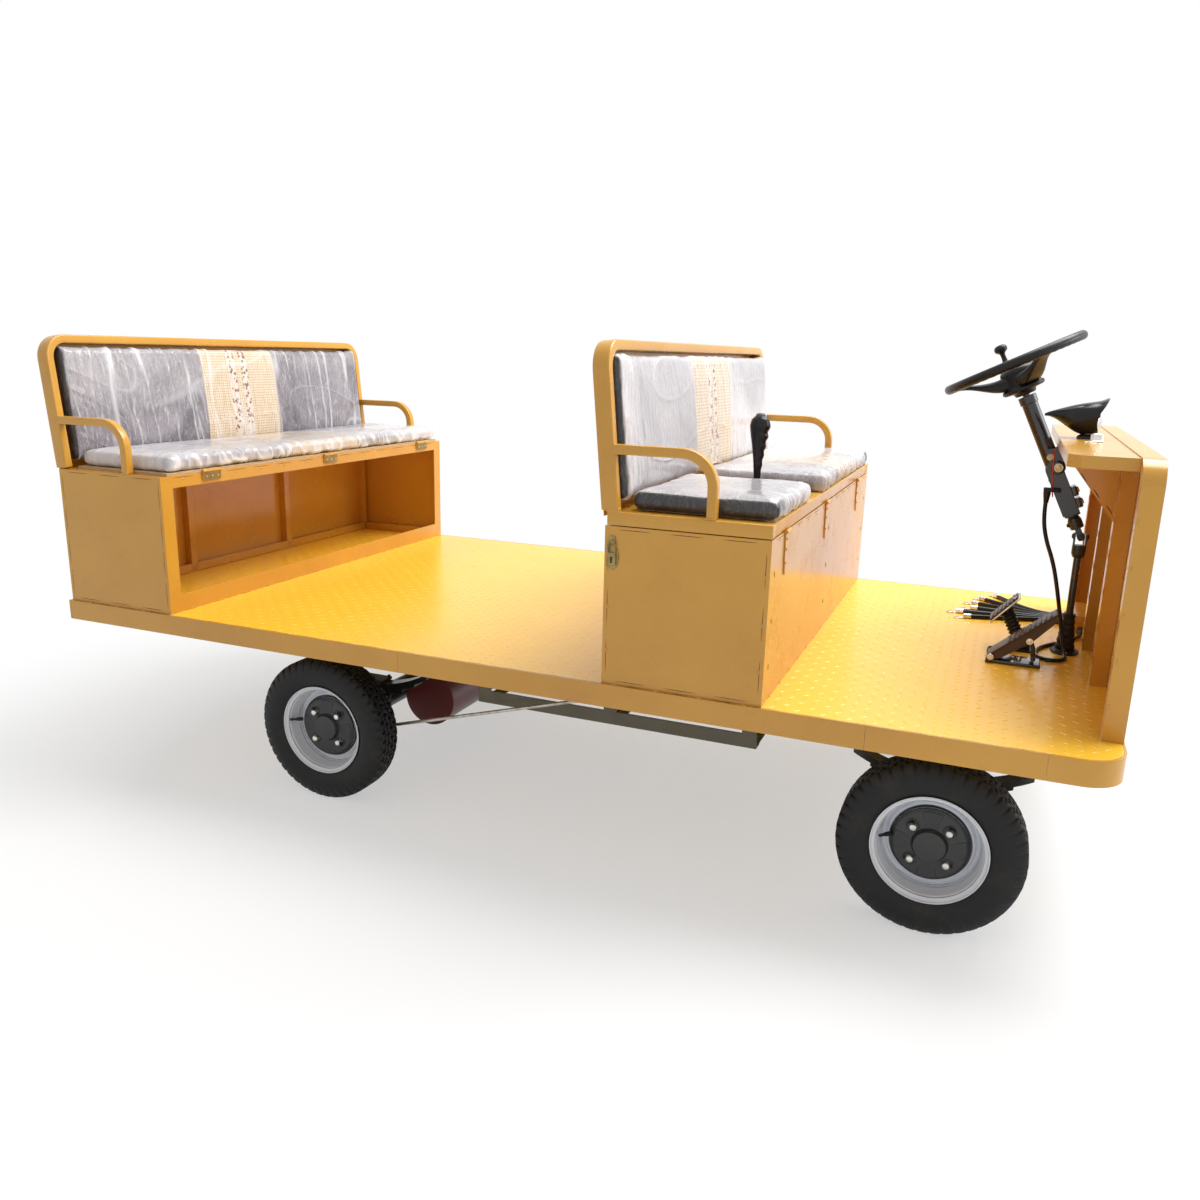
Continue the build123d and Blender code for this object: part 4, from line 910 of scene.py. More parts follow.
class TRUCK_OT_bench_fittings(bpy.types.Operator):
    """Weld tacks and seams of the boxes, the rear box's foot rails, hinge leaves with screws, draw latches and the
    travel lever's grip.
    """
    bl_idname = "truck.bench_fittings"
    bl_label = "Bench fittings"

    def execute(self, context):
        self.tacks()
        self.rails()
        self.hinges()
        self.latches()
        self.lever()
        return {"FINISHED"}

    def tacks(self):
        """Beads 12 mm in from the edges of each box's panels."""
        size = context_tack()
        for name, body in (("rear_box", "chassis"), ("driver_box", "chassis")):
            low, high = span(name)
            parts = []
            for side in (-1, 1):
                y = side * high[1]
                normal = (0, side, 0)
                for start, end, along in (
                        ((low[0] + 0.02, y, low[2] + 0.004), (high[0] - 0.02, y, low[2] + 0.004), (1, 0, 0)),
                        ((high[0] - 0.012, y, low[2] + 0.03), (high[0] - 0.012, y, high[2] - 0.03), (0, 0, 1)),
                        ((low[0] + 0.012, y, low[2] + 0.03), (low[0] + 0.012, y, high[2] - 0.03), (0, 0, 1)),
                ):
                    parts.append(repeated(weld_tack(*size), run_of(start, end), along, normal))
            reach = high[1] - 0.03
            for x, sign in ((high[0], 1), (low[0], -1)):
                rows = [((x, -reach, low[2] + 0.004), (x, reach, low[2] + 0.004), (0, 1, 0)),
                    ((x, -reach, high[2] - 0.012), (x, reach, high[2] - 0.012), (0, 1, 0))]
                if name == "driver_box":
                    for y in (-reach + 0.018, 0.0, reach - 0.018):
                        rows.append(((x, y, low[2] + 0.03), (x, y, high[2] - 0.03), (0, 0, 1)))
                for start, end, along in rows:
                    parts.append(repeated(weld_tack(*size), run_of(start, end), along, (sign, 0, 0)))
            build(name + "_tacks", parts, body, "paint")
            build(name + "_seams", self.seams(low, high, reach), body, "stain_and_gap_shade")

    def rails(self):
        """Foot rails inside the rear box, along its back and both ends."""
        low, high = span("rear_box")
        foot, top = DECK_TOP + 0.0008, DECK_TOP + 0.03
        parts = [rounded_block((low[0] + 0.0028, low[1] + 0.02, foot), (low[0] + 0.03, high[1] - 0.02, top))]
        for y0, y1 in ((low[1] + 0.0028, low[1] + 0.03), (high[1] - 0.03, high[1] - 0.0028)):
            parts.append(rounded_block((low[0] + 0.031, y0, foot), (high[0] - 0.045, y1, top)))
        build("rear_box_rails", parts, "chassis", "paint")

    def seams(self, low, high, reach):
        """Dark red-brown strips for the gaps between a panel's tacks, 10 mm in from its edges: painted shade of the
        gaps over a red-brown seam colour.
        """
        parts = []
        for side in (-1, 1):
            y = side * high[1]
            for start, end, along in (
                    ((low[0] + 0.012, y, low[2] + 0.01), (high[0] - 0.01, y, low[2] + 0.01), (1, 0, 0)),
                    ((low[0] + 0.012, y, high[2] - 0.008), (high[0] - 0.01, y, high[2] - 0.008), (1, 0, 0)),
                    ((high[0] - 0.01, y, low[2] + 0.01), (high[0] - 0.01, y, high[2] - 0.008), (0, 0, 1)),
                    ((low[0] + 0.01, y, low[2] + 0.01), (low[0] + 0.01, y, high[2] - 0.008), (0, 0, 1)),
            ):
                parts.append(repeated(weld_tack(0.1, 0.002, 0.0004), run_of(start, end), along, (0, side, 0)))
        front = run_of((high[0], -reach, high[2] - 0.006), (high[0], reach, high[2] - 0.006))
        parts.append(repeated(weld_tack(0.1, 0.002, 0.0004), front, (0, 1, 0), (1, 0, 0)))
        return parts

    def hinges(self):
        """Brass leaves with three screws on the rear bench; rivets on the driver's straps."""
        rear_x = span("rear_box")[1][0]
        leaves, screws, barrels = [], [], []
        for place in (-0.57, 0.018, 0.624):
            z = up(0.414) + 0.004
            leaf = rounded_outline([(place - 0.036, z - 0.028), (place + 0.036, z - 0.028), (place + 0.036, z - 0.003),
                (place - 0.036, z - 0.003)], 0.003)
            leaves.append(plate(leaf, rear_x + 0.0052, rear_x + 0.0066, 0, 0.0004))
            for shift in (-0.024, 0.0, 0.024):
                screws.append(screw((rear_x + 0.0066, place + shift, z - 0.018), (1, 0, 0), 0.0036))
            for first in (-0.0385, -0.0125, 0.0135):
                barrels.append(turned([(0, 0.025), (0.0048, 0.025), (0.0048, 0.0), (0, 0.0)], 0.001,
                    (rear_x + 0.0053, place + first, z), (0, 1, 0), 18))
        build("rear_hinge_leaves", leaves, "chassis", "brass")
        build("rear_hinge_screws", screws, "chassis", "zinc")
        build("rear_hinge_barrels", barrels, "chassis", "paint")
        front = span("driver_box")[1][0] + 0.0033
        rivets = [screw((front, place, up(0.399) - drop), (1, 0, 0), 0.0042)
            for place in (-0.623, -0.078, 0.524) for drop in (0.02, 0.045, 0.078)]
        build("strap_rivets", rivets, "chassis", "paint")

    def latches(self):
        """Each draw latch: a D-shaped back plate, a body with a keyhole and a wire loop over its hook."""
        low, high = span("seat_latches")
        x = (low[0] + high[0]) / 2
        face = span("driver_box")[1][1]
        metal, dark = [], []
        for side in (-1, 1):
            y = face + 0.0003
            turn = np.linspace(-np.pi / 2, np.pi / 2, 12)
            shape = [(-0.014, 0.868)] + [(0.002 + 0.016 * np.cos(a), 0.892 + 0.032 * np.sin(a) * 0.95) for a in turn]
            shape += [(-0.014, 0.922)]
            base = plate([(x + u, w) for u, w in shape], y, y + 0.0018, 1, 0.0005)
            body = plate(rounded_outline([(x - 0.01, 0.872), (x + 0.011, 0.872), (x + 0.011, 0.904), (x - 0.01,
                0.904)],
                0.004), y + 0.0012, y + 0.0068, 1, 0.0012)
            loop = bar(bend([(x - 0.009, y + 0.005, 0.903), (x - 0.009, y + 0.0048, 0.93), (x, y + 0.0045, 0.937),
                (x + 0.009, y + 0.0048, 0.93), (x + 0.009, y + 0.005, 0.903)]), 0.0015, 8)
            hook = plate(rounded_outline([(x - 0.011, 0.925), (x + 0.011, 0.925), (x + 0.007, 0.944), (x - 0.007,
                0.944)],
                0.003), y, y + 0.003, 1, 0.0006)
            hole = plate(rounded_outline([(x - 0.0022, 0.878), (x + 0.0026, 0.878), (x + 0.004, 0.894),
                (x - 0.0036, 0.894)], 0.002), y + 0.0066, y + 0.0072, 1, 0.0001)
            for group_here, chosen in ((metal, (base, body, loop, hook)), (dark, (hole,))):
                for points, faces in chosen:
                    points = points * (1, side, 1)
                    group_here.append((points, faces))
        build("draw_latches", metal, "chassis", "brass", "seat_latches")
        build("latch_keyholes", dark, "chassis", "black", slot="zinc")

    def lever(self):
        """The travel lever: a slim stem that widens to a grip whose front has five finger hollows, radius
        r(z) * (1 - 0.16 * hollows * facing), and a grey cap."""
        low, high = span("travel_lever")
        c = (low + high) / 2
        z = np.concatenate([np.linspace(0.0, 0.45, 6), np.linspace(0.455, 0.64, 60)])
        table = np.array([(0.0, 0.0075), (0.44, 0.0078), (0.48, 0.01), (0.52, 0.014), (0.56, 0.02),
            (0.59, 0.0255), (0.615, 0.029), (0.632, 0.0245), (0.64, 0.0155)])
        r = np.interp(z, table[:, 0], table[:, 1])
        turn = np.linspace(0, 2 * np.pi, 40, endpoint=False)
        facing = np.clip(np.cos(turn), 0, 1)[None, :] ** 0.7
        hollow = (0.5 - 0.5 * np.cos((z - 0.48) / 0.026 * 2 * np.pi)) * ramp(z, 0.478, 0.484) * (1 - ramp(z, 0.608,
            0.614))
        rows_r = r[:, None] * (1 - 0.15 * hollow[:, None] * facing)
        rows = np.stack([c[0] + rows_r * np.cos(turn), c[1] + 0.86 * rows_r * np.sin(turn),
            np.broadcast_to(DECK_TOP + z[:, None], rows_r.shape)], -1)
        base = rounded_block((c[0] - 0.04, c[1] - 0.03, DECK_TOP), (c[0] + 0.04, c[1] + 0.03, DECK_TOP + 0.008))
        build("travel_grip", [loft(rows), base], "chassis", "gloss", "travel_lever")
        cap = turned([(0, 0.0098), (0.01, 0.0088), (0.0135, 0.005), (0.014, 0.0)], 0.002,
            (c[0], c[1], DECK_TOP + 0.6395), (0, 0, 1), 32)
        build("travel_cap", [cap], "chassis", "grey_cap")


def context_tack():
    """Length, width and height of a weld tack, from the settings."""
    length = bpy.context.scene.truck_body.tack_length
    return length, length * 0.36, length * 0.11


# Dash, steering and pedals

STEERING = next(joint for joint in frame["joints"] if joint["name"] == "handwheel_turn")
JOINT = np.array(STEERING["pos_m"], float)
COLUMN = unit(STEERING["axis"])
AHEAD = np.array((COLUMN[2], 0.0, -COLUMN[0]))
SIDEWAYS = np.array((0.0, 1.0, 0.0))
DASH_BACK = float(span("dash_cowl")[0][0])
SHELF_TOP = float(span("dash_frame")[1][2])


def by_column(distance, side=0.0, ahead=0.0):
    """A point given by its distance up the column from the joint, sideways and ahead of the column's axis."""
    return JOINT + COLUMN * distance + SIDEWAYS * side + AHEAD * ahead


class TRUCK_OT_seat_frames(bpy.types.Operator):
    """Back frames and armrests of bent rectangular tube, their sheets, and the driver's seat rail."""
    bl_idname = "truck.seat_frames"
    bl_label = "Seat frames"

    def execute(self, context):
        lean = LEAN
        rise, face = np.array((-np.sin(lean), 0, np.cos(lean))), np.array((np.cos(lean), 0, np.sin(lean)))
        half = float(span("rear_box")[1][1])
        for name, body, start, seat, reach in (("rear", "chassis", 0.0, 0.414, 0.288),
                ("driver", "driver_seat", 1.81, 0.432, 0.28)):
            base = np.array((fore(start + 0.018), 0.0, up(seat)))
            corner, side, top = 0.059, half - 0.013, 0.387
            turn = np.linspace(0, np.pi / 2, 9)
            flat_line = [(-side, 0.005), (-side, 0.1), (-side, 0.22), (-side, top - corner - 0.01)]
            flat_line += [(-side + corner - corner * np.cos(a), top - corner + corner * np.sin(a)) for a in turn]
            flat_line = np.array(flat_line)
            flat_line = np.concatenate([flat_line, [[-0.35, top], [0.0, top], [0.35, top]], flat_line[::-1] * (-1, 1)])
            line = base + flat_line[:, :1] * SIDEWAYS + flat_line[:, 1:] * rise
            parts = [bar(line, 0.013, 32, flat=0.022 / 0.013, first=face, power=7.0)]
            inner = rounded_outline([(-side, 0.04), (side, 0.04), (side, top), (-side, top)], 0.08, 8)
            sheet = plate(inner, -0.0215, -0.0185, 2, 0.0005)
            parts.append(placed(sheet, base, SIDEWAYS, rise, face))
            foot = plate([(-side, -0.012), (side, -0.012), (side, 0.15), (-side, 0.15)], -0.0212, -0.0188, 2, 0.0004)
            parts.append(placed(foot, base, SIDEWAYS, rise, face))
            for sign in (-1, 1):
                height, end = 0.148, fore(start + reach) - 0.012
                first = base[0] + 0.018 - np.tan(lean) * height
                bend_radius = 0.076
                arm = [(first, height), (first + 0.05, height), (end - bend_radius - 0.03, height)]
                arm += [(end - bend_radius + bend_radius * np.sin(a), height - bend_radius + bend_radius * np.cos(a))
                    for a in turn]
                arm += [(end, height - bend_radius - 0.02), (end, 0.004)]
                arm = np.array([(x, sign * side, up(seat) + z) for x, z in arm])
                parts.append(bar(arm, 0.012, 32, flat=0.013 / 0.012, first=SIDEWAYS, power=7.0))
                foot = rounded_block((end - 0.015, sign * side - 0.0145, up(seat) + 0.0002),
                    (end + 0.0115, sign * side + 0.0129, up(seat) + 0.004), 0.0015)
                parts.append(foot)
            if name == "driver":
                box_low, box_high = span("driver_box")
                x0, x1, z0, z1 = box_low[0] + 0.004, box_high[0], up(0.4), up(0.432)
                rail = 0.036
                for corner_low, corner_high in (
                        ((x0, -half, z0), (x1, -half + rail, z1)), ((x0, half - rail, z0), (x1, half, z1)),
                        ((x0 + 0.0008, -half + rail - 0.001, z0 + 0.0005), (x0 + rail, half - rail + 0.001,
                        z1 - 0.0005)),
                        ((x1 - rail, -half + rail - 0.001, z0 + 0.0005), (x1 - 0.0008, half - rail + 0.001,
                        z1 - 0.0005)),
                        ((x0 + 0.03, -half + 0.03, z1 - 0.005), (x1 - 0.03, -0.32, z1 - 0.001)),
                        ((x0 + 0.03, -0.15, z1 - 0.005), (x1 - 0.03, half - 0.03, z1 - 0.001)),
                ):
                    parts.append(rounded_block(corner_low, corner_high, 0.0022))
                for sign in (-1, 1):
                    parts.append(rounded_block((x0 - 0.003, sign * half - 0.018 * (sign > 0), z1 - 0.004),
                        (x0 + 0.03, sign * half + 0.018 * (sign < 0), z1 + 0.01), 0.003))
            build(name + "_frame", parts, body, "paint", name + "_seat_frame")
        return {"FINISHED"}


class TRUCK_OT_handwheel(bpy.types.Operator):
    """Hand wheel: a grip ring, three dished spokes, a deep hub and a spinner knob."""
    bl_idname = "truck.handwheel"
    bl_label = "Hand wheel"

    def execute(self, context):
        radius, grip, reach = 0.179, 0.013, 0.516
        turn = np.linspace(0, 2 * np.pi, 160, endpoint=False)[:, None]
        round_grip = np.linspace(0, 2 * np.pi, 20, endpoint=False)[None, :]
        under = np.clip(-np.sin(round_grip), 0, 1)
        r = grip * (1 - 0.07 * under * (0.5 + 0.5 * np.cos(48 * turn)))
        across = radius + r * np.cos(round_grip)
        points = (JOINT + across[..., None] * (np.cos(turn)[..., None] * AHEAD + np.sin(turn)[..., None] * SIDEWAYS)
            + (reach + r * np.sin(round_grip))[..., None] * COLUMN)
        parts = [(points.reshape(-1, 3), grid_faces(160, 20, True, True).tolist())]
        for angle in (60, 180, 300):
            a = np.radians(angle)
            out = np.cos(a) * AHEAD + np.sin(a) * SIDEWAYS
            width = np.cross(COLUMN, out)
            t = np.linspace(0, 1, 14)
            along = 0.03 + t * (radius - 0.034)
            height = reach - 0.046 + 0.042 * ramp(t, 0.1, 1.0)
            thick = (0.02 - 0.0132 * ramp(t, 0.0, 0.75))[:, None]
            half = 0.034 - 0.017 * ramp(t, 0.0, 0.9)
            c, s = ring(16, 4.0)
            rows = (JOINT + along[:, None, None] * out + (height[:, None] + thick * s[None, :])[..., None] * COLUMN
                + (half[:, None] * c[None, :])[..., None] * width)
            parts.append(loft(rows))
        hub = [(0.0, reach - 0.01), (0.036, reach - 0.011), (0.044, reach - 0.015), (0.047, reach - 0.024),
            (0.049, reach - 0.064), (0.056, reach - 0.067), (0.0565, reach - 0.075), (0.051, reach - 0.079),
            (0.03, reach - 0.081), (0.027, reach - 0.0915), (0.0, reach - 0.0915)]
        parts.append(turned(hub, 0.004, JOINT, COLUMN, 48))
        ringed = [(0.0, reach - 0.0095), (0.021, reach - 0.0095), (0.0225, reach - 0.0105), (0.0225, reach - 0.014)]
        parts.append(turned(ringed, 0.001, JOINT, COLUMN, 40))
        stem = by_column(0, radius, -0.021)
        knob = [(0.0, reach + 0.066), (0.009, reach + 0.0655), (0.0155, reach + 0.062), (0.0185, reach + 0.055),
            (0.0175, reach + 0.048), (0.012, reach + 0.0435), (0.0075, reach + 0.04), (0.0065, reach + 0.03),
            (0.0075, reach + 0.018), (0.012, reach + 0.0115), (0.0125, reach + 0.004), (0.0, reach + 0.003)]
        parts.append(turned(knob, 0.002, stem, COLUMN, 32))
        build("hand_wheel", parts, "handwheel", "wheel", "steering_wheel")
        return {"FINISHED"}


class TRUCK_OT_column(bpy.types.Operator):
    """Channel, boss and clamp of the column, nuts of its joint, and the boot's flange."""
    bl_idname = "truck.column"
    bl_label = "Column"

    def execute(self, context):
        parts, bright = [], []
        outline = rounded_outline([(-0.024, 0.066), (0.02, 0.066), (0.02, 0.2), (0.004, 0.232), (-0.024, 0.214)],
            0.012)
        for side in (-1, 1):
            cheek = plate(outline, side * 0.0235 - 0.0018, side * 0.0235 + 0.0018, 1, 0.0008)
            parts.append(placed(cheek, JOINT, AHEAD, SIDEWAYS, COLUMN))
        web = rounded_block((-0.024, -0.0235, 0.07), (-0.0205, 0.0235, 0.206), 0.001)
        parts.append(placed(web, JOINT, AHEAD, SIDEWAYS, COLUMN))
        boss = smooth_profile([(0.0, 0.031), (0.01, 0.031), (0.0185, 0.0295), (0.0185, -0.0295), (0.01, -0.031),
            (0.0, -0.031)], 0.002)
        parts.append(lathe(boss, by_column(0.205, 0, 0.01), SIDEWAYS, 32))
        parts.append(turned([(0.0, 0.42), (0.0235, 0.42), (0.024, 0.4185), (0.024, 0.398),
            (0.0215, 0.396), (0.0, 0.396)], 0.001, JOINT, COLUMN, 36))
        for distance in (0.094, 0.128):
            clamp = rounded_block((0.02, -0.03, distance - 0.013), (0.034, 0.03, distance + 0.013), 0.003)
            parts.append(placed(clamp, JOINT, AHEAD, SIDEWAYS, COLUMN))
            for side in (-1, 1):
                bright += bolt(by_column(distance, side * 0.021, 0.034), AHEAD, 0.0055, 0.005)
        for side in (-1, 1):
            bright += bolt(by_column(0.205, side * 0.031, 0.01), side * SIDEWAYS, 0.008, 0.006)
            bright += bolt(by_column(0.24, side * 0.0235, 0.0), side * SIDEWAYS, 0.006, 0.004)
        build("column_brackets", parts, "chassis", "enamel_black")
        build("column_bolts", bright, "chassis", "brass_bright")

        for name, body, direction in (("upper", "handwheel", SIDEWAYS), ("lower", "lower_shaft", np.array((1.0, 0,
                0)))):
            nuts = []
            for sign in (-1, 1):
                nuts += bolt(JOINT + sign * direction * 0.0172, sign * direction, 0.0068, 0.005)
            build(name + "_joint_nuts", nuts, body, "black")
            sleeve = COLUMN if name == "upper" else np.array((0.0, 0.0, -1.0))
            line = [(0.0, 0.06), (0.0125, 0.06), (0.0145, 0.058), (0.0178, 0.05), (0.0182, 0.046), (0.0182, 0.027),
                (0.0165, 0.0245), (0.0, 0.0245)]
            clamp_bolt = JOINT + sleeve * 0.04
            yoke = [turned(line, 0.0015, JOINT, sleeve, 32)]
            yoke += bolt(clamp_bolt + np.cross(sleeve, direction) * 0.0175, np.cross(sleeve, direction), 0.0055, 0.006)
            build(name + "_yoke_sleeve", yoke, body, "black")

        low, high = span("shaft_boot")
        foot = (low + high) / 2
        turn = np.linspace(0, 2 * np.pi, 48, endpoint=False)
        oval = np.stack([foot[0] + 0.037 * np.cos(turn), foot[1] + 0.05 * np.sin(turn)], 1)
        parts = [plate(oval, DECK_TOP + 0.0002, DECK_TOP + 0.0055, 2, 0.0012)]
        line = [(0.0112, 0.112), (0.016, 0.112), (0.0168, 0.108), (0.0168, 0.102), (0.015, 0.099)]
        for step in range(5):
            z = 0.096 - step * 0.018
            r = 0.0158 + 0.002 * step
            line += [(r, z), (r + 0.0022, z - 0.006), (r + 0.0022, z - 0.01), (r + 0.0006, z - 0.015)]
        line += [(0.0275, 0.006), (0.03, 0.0045), (0.0112, 0.0045)]
        boot = lathe(line + [line[0]], (foot[0], foot[1], DECK_TOP), (0, 0, 1), 40)
        parts.append((boot[0], boot[1][:-2]))
        build("ribbed_boot", parts, "chassis", "boot", "shaft_boot")
        bolts = []
        for side in (-1, 1):
            bolts += bolt((foot[0], foot[1] + side * 0.041, DECK_TOP + 0.0055), (0, 0, 1), 0.005, 0.004)
        build("boot_bolts", bolts, "chassis", "bright")
        return {"FINISHED"}


class TRUCK_OT_instruments(bpy.types.Operator):
    """Saddle-shaped instrument pod with its ringed neck, and the key switch with its key and ring."""
    bl_idname = "truck.instruments"
    bl_label = "Instruments"

    def execute(self, context):
        middle = -0.03
        t = np.linspace(0, 1, 26)[:, None]
        c, s = ring(40, 2.4)
        x = DASH_BACK - 0.181 + 0.128 * t
        centre = SHELF_TOP + 0.058 + 0.01 * t
        half = 0.004 + 0.05 * t ** 0.62
        rise = 0.003 + 0.031 * t ** 0.8
        drop = 0.004 + 0.052 * ramp(t, 0.0, 0.78)
        z = centre + np.where(s > 0, rise, drop) * s * (1 - 0.1 * np.abs(c) ** 3)
        lean = 0.02 * ramp(t, 0.55, 1.0) * np.clip(s, 0, 1)
        z = z + 0.004 * ramp(t, 0.86, 1.0) * np.clip(s, 0, 1)
        rows = np.stack([x + lean, middle + half * c, z + 0 * c], -1)
        last = rows[-1]
        face = []
        for shrink, back in ((0.93, 0.002), (0.88, 0.01), (0.45, 0.012), (0.05, 0.012)):
            middle_point = last.mean(0)
            face.append(middle_point + (last - middle_point) * shrink - (back, 0, 0))
        first = rows[0].mean(0) + (rows[0] - rows[0].mean(0)) * 0.2 - (0.002, 0, 0)
        parts = [loft(np.concatenate([[first], rows, face]))]
        neck = (DASH_BACK - 0.076, middle, SHELF_TOP)
        parts.append(turned([(0.0, 0.036), (0.014, 0.036), (0.0145, 0.01), (0.0215, 0.007), (0.0235, 0.002),
            (0.0235, 0.0003), (0.0, 0.0003)], 0.002, neck, (0, 0, 1), 36))
        build("instrument_pod", parts, "chassis", "gloss", "dash_instruments")
        chrome = [turned([(0.0, 0.0165), (0.0172, 0.0165), (0.0182, 0.015), (0.0182, 0.0125),
            (0.0172, 0.011), (0.0, 0.011)], 0.001, neck, (0, 0, 1), 36)]
        key = np.array((DASH_BACK - 0.058, -0.15, SHELF_TOP))
        chrome.append(turned([(0.0, 0.0215), (0.0105, 0.0215), (0.015, 0.019), (0.0155, 0.0045),
            (0.0195, 0.0035), (0.0195, 0.0003), (0.0, 0.0003)], 0.0015, key, (0, 0, 1), 36))
        facing = unit((-0.35, -0.94, 0.0))
        blade = rounded_block((-0.0035, -0.0011, 0.02), (0.0035, 0.0011, 0.036), 0.0008)
        chrome.append(placed(blade, key, facing, np.cross((0, 0, 1), facing), (0, 0, 1)))
        bow = turned([(0.0035, 0.0013), (0.0125, 0.0016), (0.014, 0.0), (0.0125, -0.0016),
            (0.0035, -0.0013)], 0.0008, key + (0, 0, 0.046), np.cross((0, 0, 1), facing), 32)
        chrome.append(bow)
        turn = np.linspace(0, 2 * np.pi, 40, endpoint=False)
        centre = key + (-0.012, -0.052, 0.0012)
        loop = centre + np.stack([0.021 * np.cos(turn), 0.023 * np.sin(turn), 0 * turn], 1)
        chrome.append(bar(loop, 0.0009, 8, closed=True))
        build("key_switch", chrome, "chassis", "bright")
        return {"FINISHED"}


class TRUCK_OT_dash_fittings(bpy.types.Operator):
    """Duct and relay in the dash, weld tacks, gusset slots and the wires tied along a gusset."""
    bl_idname = "truck.dash_fittings"
    bl_label = "Dash fittings"

    def execute(self, context):
        low, high = span("dash_cowl")
        duct = rounded_block((DASH_BACK - 0.022, 0.32, DECK_TOP + 0.0002), (DASH_BACK + 0.036, 0.52, DECK_TOP + 0.054),
            0.004)
        parts = [duct]
        for side in (-1, 1):
            y = side * (high[1])
            parts.append(repeated(weld_tack(0.015, 0.005, 0.0015),
                run_of((low[0] + 0.006, y, low[2] + 0.03), (low[0] + 0.006, y, high[2] - 0.08)),
                (0, 0, 1), (0, side, 0)))
            inner = side * (high[1] - 0.03)
            parts.append(repeated(weld_tack(0.015, 0.005, 0.0015),
                run_of((low[0], inner, low[2] + 0.03), (low[0], inner, high[2] - 0.08)), (0, 0, 1), (-1, 0, 0)))
        for place in (-0.207, 0.14):
            for side in (-1, 1):
                y = place + side * 0.019
                parts.append(repeated(weld_tack(0.02, 0.006, 0.0016),
                    run_of((low[0], y, low[2] + 0.02), (low[0], y, high[2] - 0.05), 0.085), (0, 0, 1), (-1, 0, 0)))
        build("dash_tacks", parts, "chassis", "paint")

        # the gusset slots are dark strips: painted shade of the openings over a red-brown colour
        slots = []
        for place in (-0.207, 0.14):
            for side in (-1, 1):
                y = place + side * 0.0026
                for k in range(3):
                    start = np.array((DASH_BACK - 0.012 - 0.034 * k, y, SHELF_TOP - 0.16 + 0.038 * k))
                    slots.append(repeated(weld_tack(0.03, 0.0028, 0.0004), [start], (-0.6, 0, 0.8), (0, side, 0)))
        build("gusset_slots", slots, "chassis", "stain_and_gap_shade")

        relay = rounded_block((DASH_BACK - 0.084, 0.162, SHELF_TOP - 0.094), (DASH_BACK - 0.04, 0.218,
            SHELF_TOP - 0.004),
            0.01, 3)
        build("relay", [relay], "chassis", "tan")
        cream, red = [], []
        for shift in (0.0, 0.005):
            cream.append(bar(bend([(DASH_BACK - 0.06, 0.166 + shift, SHELF_TOP - 0.096),
                (DASH_BACK - 0.058, 0.16 + shift, SHELF_TOP - 0.118),
                (DASH_BACK - 0.04, 0.15 + shift * 0.5, SHELF_TOP - 0.13),
                (DASH_BACK - 0.012, 0.1475, SHELF_TOP - 0.15 - shift),
                (DASH_BACK + 0.01, 0.1615, SHELF_TOP - 0.2 - shift)]), 0.0015, 8))
        build("cream_wires", cream, "chassis", "cream")
        red.append(bar(bend([by_column(0.255, -0.024, 0.018), by_column(0.225, -0.031, 0.004),
            by_column(0.19, -0.031, -0.012), by_column(0.16, -0.03, -0.022),
            by_column(0.135, -0.027, -0.03)]), 0.0018, 8))
        red.append(bar(bend([by_column(0.258, 0.02, 0.028), by_column(0.222, 0.034, 0.012),
            by_column(0.185, 0.033, -0.01), by_column(0.15, 0.028, -0.027)]), 0.0015, 8))
        build("red_wires", red, "chassis", "red")
        black = [bar(bend([by_column(0.262, 0.012, 0.03), by_column(0.236, 0.04, 0.014), by_column(0.212, 0.047,
            -0.008),
            by_column(0.19, 0.038, -0.02), by_column(0.172, 0.028, -0.024)]), 0.0022, 8)]
        build("black_wire", black, "chassis", "cord")
        return {"FINISHED"}


